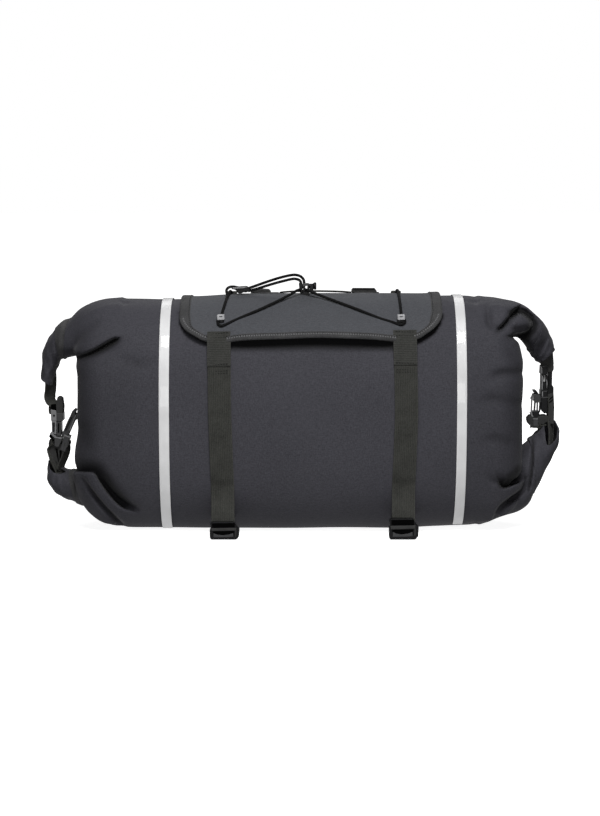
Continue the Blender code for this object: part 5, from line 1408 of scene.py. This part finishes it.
moulding("pair_left_band_gap_a", [(55.4, 448.4), (57.4, 448.4), (58.5, 457), (58.8, 463.5), (57.6, 459)], -7.7, -6.7, SHADOW_BLACK, "webbing", edge=0)
moulding("pair_left_band_gap_b", [(59.4, 450.0), (61.2, 450.8), (61.5, 454.0), (60.4, 458.6), (59.6, 461)], -7.7, -6.7, SHADOW_BLACK, "webbing", edge=0)
moulding("pair_left_foot", [(54.4, 437), (61.9, 438.4), (61.4, 441.4), (58.6, 447.3), (54.4, 446.4)], -11, 10, HALF_LIGHT_BLACK, edge=0.5)
moulding("pair_left_strap", [(54.9, 445.6), (58.6, 443.4), (62.4, 444.6), (63.4, 451.4), (62.0, 457), (60.6, 466), (57.2, 466), (54.9, 457)], -7, 6, FOLDED, "webbing", edge=0.5)
moulding("pair_left_foot_edge", [(54.4, 436.6), (61.9, 438), (61.8, 439.1), (54.4, 437.9)], -11.3, 8, HIGHLIGHT_BLACK, edge=0.2)
# left: loose male half; its half-lit prongs and plate and its lit edges are painted half light and painted highlights
moulding("loose_left_prongs", [(72.3, 410.7), (74.4, 409), (75.9, 410.3), (74.9, 414.3), (76.9, 413.1), (78.7, 412.1), (79.4, 413.6),
                               (77.3, 419.3), (74.4, 421.4), (69.7, 432.1), (67.3, 437.2), (61.4, 436.6), (62.0, 433.4), (64.4, 428.6), (67.3, 421.4),
                               (70.1, 415.7)], -8, 8, HALF_LIGHT_BLACK, replaces=("loose_buckle_left",), edge=0.4)
moulding("loose_left_rib", [(70.6, 417.2), (72.6, 417.0), (66.4, 430.8), (64.6, 430.4)], -8.5, -7.5, BLACK, edge=0.3)
moulding("loose_left_rib_edge", [(74.9, 415.6), (76.4, 414.6), (70.2, 430.6), (69.0, 430.4)], -8.7, -7.5, HIGHLIGHT_BLACK, edge=0.25)
moulding("loose_left_plate", [(64.4, 435.2), (69.8, 437.5), (65.4, 452.2), (60.1, 450)], -10, 9, HALF_LIGHT_BLACK, edge=0.5)
moulding("loose_left_plate_edge", [(64.2, 434.6), (70.0, 437.0), (69.7, 438.2), (64.0, 435.9)], -10.3, 8, HIGHLIGHT_BLACK, edge=0.2)
# right: fastened pair; its glints, lit edges and half-lit ridge are painted highlights and painted half light, the dark
# lines on its tail painted shadow
moulding("pair_right_fold", [(538.7, 360.3), (552.7, 348), (553.9, 363.6), (552.5, 372.4), (547.7, 371.8), (543.4, 365.9), (540.2, 363.6)],
         -9, 8, FOLDED, "webbing", edge=0.6)
moulding("pair_right_head", [(541.7, 366.1), (547.2, 365.2), (547.7, 374.7), (541.1, 374.7)], -11.5, 10, BLACK,
         replaces=("buckle_female_right",), edge=0.6)
moulding("pair_right_head_edge", [(541.9, 366.0), (547.0, 365.2), (547.0, 366.2), (541.9, 367.0)], -11.8, 8, HALF_LIGHT_BLACK, edge=0.2)
moulding("pair_right_arm_a", [(541.9, 374.3), (544.1, 374.3), (543.7, 391), (541.5, 391)], -10.5, 9, BLACK, edge=0.35)
moulding("pair_right_arm_b", [(545.0, 374.3), (547.9, 375.6), (548.8, 383), (547.3, 391), (544.9, 391), (546.2, 383), (546.0, 377.5)],
         -10.5, 9, BLACK, edge=0.35)
moulding("pair_right_web", [(543.5, 383), (546, 383), (545.4, 391), (543.3, 391)], -8.5, 9, BLACK, edge=0.2)
moulding("pair_right_column", [(541.1, 390.7), (547.2, 390.7), (547.7, 413), (544.2, 413.6), (541.1, 409.6)], -11, 10, BLACK,
         replaces=("buckle_male_right",), edge=0.6)
moulding("pair_right_glint_a", [(541.5, 367.4), (542.2, 367.4), (542.1, 373.6), (541.4, 373.6)], -11.8, -10, HIGHLIGHT_BLACK, edge=0)
moulding("pair_right_glint_b", [(542.1, 376), (542.9, 376), (542.6, 389.6), (541.8, 389.6)], -10.8, -10, HIGHLIGHT_BLACK, edge=0)
moulding("pair_right_glint_c", [(546.4, 379), (547.1, 380.4), (547.4, 384), (546.7, 388.4)], -10.8, -10, HIGHLIGHT_BLACK, edge=0)
moulding("pair_right_glint_d", [(541.6, 390.9), (547.0, 390.9), (547.0, 391.7), (541.6, 391.7)], -11.4, -10, HALF_LIGHT_BLACK, edge=0)
moulding("pair_right_ridge", [(541.3, 397.1), (547.3, 396.9), (547.3, 398.1), (541.3, 398.3)], -11.5, -10, HALF_LIGHT_BLACK, edge=0.2)
moulding("pair_right_glint", [(542.0, 391.6), (542.9, 391.6), (542.9, 396.4), (542.0, 396.4)], -11.2, -10, HIGHLIGHT_BLACK, edge=0)
moulding("pair_right_rear", [(548.5, 371.2), (552.5, 372.1), (552.2, 385), (553.7, 387.1), (553.7, 392.4), (547.6, 394.6), (549.0, 383)],
         -8, 9, BLACK, edge=0.5)
moulding("pair_right_rear_edge", [(551.3, 373.2), (552.4, 373.2), (552.1, 385), (551.1, 385)], -8.3, -7, HALF_LIGHT_BLACK, edge=0)
moulding("pair_right_tail", [(547.5, 394.4), (553.7, 392), (554.4, 406.4), (554, 424), (549.1, 424), (547.7, 413.6)], -8, 8, FOLDED, "webbing",
         edge=0.6)
for k in (0.0, 3.2):
    moulding(f"pair_right_tail_ridge_{int(k)}", [(547.6, 400.2 + k), (553.6, 395.4 + k), (553.7, 396.5 + k), (547.6, 401.4 + k)],
             -8.4, -7, SHADOW_BLACK, edge=0)
# right: loose female half; its lit and half-lit frame, bars, shoulder, strut and wrap face are painted highlights and
# painted half light
moulding("loose_right_leaf", [(533.4, 390.4), (536.4, 390.4), (539, 394.3), (537, 395.2), (534.1, 392.9)], -7, 8, BLACK, edge=0.25)
moulding("loose_right_frame", [(533.2, 395), (535.2, 394.1), (540.8, 395.2), (541.2, 402.3), (535, 402.9)], -8, 8, HALF_LIGHT_BLACK,
         replaces=("loose_buckle_right",), edge=0.4)
moulding("loose_right_shoulder", [(531.2, 399.6), (533.4, 395.2), (534.8, 396.2), (532.7, 400.8)], -7.5, 6, HIGHLIGHT_BLACK, edge=0.2)
moulding("loose_right_bar_a", [(531.1, 399), (532.6, 399.3), (532.2, 413.9), (530.6, 413.7)], -7.6, -4.6, HIGHLIGHT_BLACK, edge=0.25)
moulding("loose_right_bar_b", [(534.2, 402.3), (535.9, 402.3), (535.2, 412.4), (533.5, 412.4)], -7.8, -4.6, HALF_LIGHT_BLACK, edge=0.25)
moulding("loose_right_bar_c", [(536.8, 402.3), (538.2, 402.2), (538.0, 412), (536.5, 412)], -7.8, -4.6, HALF_LIGHT_BLACK, edge=0.25)
moulding("loose_right_bar_d", [(539.5, 401.8), (541.1, 401.8), (540.3, 412), (538.8, 412)], -7.8, -4.6, BLACK, edge=0.25)
moulding("loose_right_foot", [(532.6, 411.6), (539.8, 411.6), (539.2, 417.3), (533.5, 418.2)], -8.5, 7, BLACK, edge=0.4)
moulding("loose_right_strut", [(530.5, 413.2), (532.1, 413.2), (534.2, 418.6), (532.5, 419.2)], -8.8, 5, HIGHLIGHT_BLACK, edge=0.25)
moulding("loose_right_wrap", [(530.2, 415.4), (527.2, 418.8), (528, 423.6), (532, 427.9), (537.7, 428.3), (540.6, 424.5), (544.1, 425),
                              (545.6, 422.9), (549.8, 421), (550.8, 417.5), (545.6, 415.3), (540.4, 415.8), (536, 417.6)],
         -9, 8, FOLDED, "webbing", edge=0.8)
moulding("loose_right_wrap_face", [(533.1, 418.8), (538, 419), (538.1, 425.7), (533.4, 426.4)], -9.7, -8, HALF_LIGHT_BLACK, edge=0.35)
moulding("loose_right_wrap_face_edge", [(532.9, 418.4), (538, 418.6), (538, 419.5), (532.9, 419.3)], -10.2, -8, HIGHLIGHT_BLACK, edge=0.15)
# ladder locks; the slot, the wrapped bar and the lower plate lie in the moulded frame. The slot and the gap are painted
# shadow, the half-lit lower plate painted half light and the arm a painted highlight
for side, dx, top in (("left", 0.0, 522.2), ("right", 179.3, 518.6)):
    def at(points):
        """The left lock's outline, moved and stretched between its top and y = 540."""
        k = (539.4 - top) / (539.4 - 522.2)
        return [(px + dx, 539.4 - (539.4 - py) * k) for px, py in points]

    moulding(f"lock_frame_{side}", at([(209.9, 523.6), (211.8, 522.2), (233.8, 522.2), (236.6, 526.3), (239.5, 529.0), (239.0, 537.0),
                                       (236.0, 539.8), (211.2, 540.2), (209.7, 537.6), (209.7, 529.3), (210.9, 528.4)]),
             -102.5, -95.5, BLACK, replaces=(f"ladder_lock_{side}",), edge=0.7)
    moulding(f"lock_slot_{side}", at([(211.9, 523.4), (234.6, 523.1), (234.9, 527.9), (212.1, 528.2)]), -102.75, -100, SHADOW_BLACK, edge=0)
    moulding(f"lock_wrap_{side}", at([(210.8, 528.3), (236.4, 527.9), (236.0, 530.7), (211.6, 531.2)]), -103.9, -100, FOLDED, "webbing", edge=0.55)
    moulding(f"lock_gap_{side}", at([(213.0, 531.4), (234.0, 531.1), (233.9, 535.9), (213.0, 536.3)]), -102.8, -100, SHADOW_BLACK, edge=0)
    moulding(f"lock_plate_{side}", at([(213.4, 533.2), (216.8, 534.6), (222.2, 535.4), (229, 534.6), (233.2, 533.2), (233.4, 536.6),
                                       (229, 537.2), (213.4, 537.4)]), -103.5, -100, HALF_LIGHT_BLACK, edge=0.4)
    moulding(f"lock_arm_{side}", at([(235.2, 530.4), (236.4, 530.6), (236.2, 536.4), (235.3, 536.8)]), -103.2, -100, FOLDED, edge=0.3)
# handlebar buckles, seen over the top
moulding("bar_buckle_right_frame", [(351.6, 293.4), (352.0, 290.7), (353.2, 289.0), (375.4, 289.0), (376.7, 290.9), (377.0, 293.4)],
         34, 62, FOLDED, edge=0.5, replaces=())
moulding("bar_buckle_right_bar", [(353.6, 288.2), (374.8, 288.2), (375.4, 289.4), (353.0, 289.4)], 33, 40, BLACK, edge=0.3)
moulding("bar_buckle_left_frame", [(250.6, 293.6), (251.0, 290.2), (262.0, 289.6), (268.6, 290.0), (270.4, 291.8), (270.8, 293.6)],
         34, 62, FOLDED, edge=0.5)

# ---- moulded parts: the CAD pieces with softened edges --------------------------------------
MOULDED = {
    "handlebar_buckle_left": (BLACK, 0.55), "handlebar_buckle_right": (BLACK, 0.55),
    "cord_lock_button": (BLACK, 0.35), "cord_lock_base": (BLACK, 0.3),
    "cord_rear_anchor_left": (STRAP, 0.4), "cord_rear_anchor_right": (STRAP, 0.4),
}
for name, (mat, width) in MOULDED.items():
    ob = nodes[name]
    ob.data.materials.clear()
    ob.data.materials.append(mat)
    weld = ob.modifiers.new("weld", "WELD")
    weld.merge_threshold = 2e-5
    bevel = ob.modifiers.new("edges", "BEVEL")
    bevel.width = width * MM
    bevel.segments = 3
    bevel.limit_method = "ANGLE"
    bevel.angle_limit = math.radians(32)
    bevel.use_clamp_overlap = True
    ob.data.polygons.foreach_set("use_smooth", np.full(len(ob.data.polygons), True))

# ---- stage ----------------------------------------------------------------------------------
def stage_mesh(name, build, mat):
    bm = bmesh.new()
    build(bm)
    me = bpy.data.meshes.new(name)
    bm.to_mesh(me)
    bm.free()
    me.materials.append(mat)
    ob = bpy.data.objects.new(name, me)
    scene.collection.objects.link(ob)
    return ob


def glow(name, colour, strength):
    g = Graph(name, 1.0, specular=0.0)
    g.shader.inputs["Base Color"].default_value = (*colour, 1)
    g.shader.inputs["Emission Color"].default_value = (1, 1, 1, 1)
    g.shader.inputs["Emission Strength"].default_value = strength
    return g


# a white floor that keeps a soft shadow under the bag and runs into the white surroundings
g = glow("floor_white", (0.80, 0.80, 0.80), 0.9)
tex = g.node("ShaderNodeTexCoord")
far = g.node("ShaderNodeVectorMath", operation="LENGTH")
g.link(tex.outputs["Object"], far.inputs[0])
g.link(g.span(far.outputs["Value"], 0.42, 0.95, 0.90, 1.0), g.shader.inputs["Emission Strength"])
floor = stage_mesh("floor", lambda bm: bmesh.ops.create_circle(bm, cap_ends=True, segments=96, radius=30.0), g.mat)
floor.location.z = -0.0004
floor.visible_diffuse = False
floor.visible_glossy = False
g = glow("surroundings", (0, 0, 0), 1.0)
dome = stage_mesh("surroundings", lambda bm: bmesh.ops.create_icosphere(bm, subdivisions=3, radius=29.0), g.mat)
dome.visible_diffuse = dome.visible_glossy = dome.visible_shadow = dome.visible_transmission = False
# what the bag's underside sees
g = glow("bounce_grey", (0.45, 0.45, 0.45), 0.7)
tex = g.node("ShaderNodeTexCoord")
split = g.node("ShaderNodeSeparateXYZ")
g.link(tex.outputs["Object"], split.inputs[0])
g.link(g.span(g.math("ABSOLUTE", split.outputs["X"]), 0.16, 0.50, 0.66, 0.05), g.shader.inputs["Emission Strength"])
bounce = stage_mesh("floor_bounce", lambda bm: bmesh.ops.create_circle(bm, cap_ends=True, segments=64, radius=6.0), g.mat)
bounce.location.z = -0.0012
bounce.visible_camera = False

sky = bpy.data.worlds.new("studio")
sky.use_nodes = True
sky.node_tree.nodes["Background"].inputs["Color"].default_value = (1, 1, 1, 1)
sky.node_tree.nodes["Background"].inputs["Strength"].default_value = 0.22
scene.world = sky
scene.view_settings.view_transform = "Standard"
scene.view_settings.look = "None"


def area(name, place, aim, size, power):
    data = bpy.data.lights.new(name, "AREA")
    data.shape = "RECTANGLE"
    data.size, data.size_y = size
    data.energy = power
    ob = bpy.data.objects.new(name, data)
    ob.location = place
    ob.rotation_mode = "QUATERNION"
    ob.rotation_quaternion = (Vector(aim) - Vector(place)).to_track_quat("-Z", "Y")
    ob.visible_camera = False
    scene.collection.objects.link(ob)
    return ob


area("key", (0.10, -1.45, 2.0), (0, 0, 0.13), (0.9, 0.6), 52)
area("front", (0.0, -2.6, 0.35), (0, 0, 0.10), (0.8, 0.5), 13)
area("rear", (0.0, 1.7, 1.6), (0, 0, 0.15), (1.4, 0.8), 10)
# dark flags beside the bag keep light off its end walls
g = Graph("flag_black", 1.0, specular=0.0)
g.shader.inputs["Base Color"].default_value = (0.01, 0.01, 0.01, 1)
for sign in (-1, 1):
    flag = stage_mesh(f"flag_{'left' if sign < 0 else 'right'}",
                      lambda bm: bmesh.ops.create_grid(bm, x_segments=1, y_segments=1, size=0.5), g.mat)
    flag.scale = (0.9, 1.3, 1.0)
    flag.rotation_euler = (0.0, math.pi / 2, 0.0)
    flag.location = (sign * 0.50, 0.0, 0.42)
    flag.visible_camera = False
    flag.visible_shadow = True
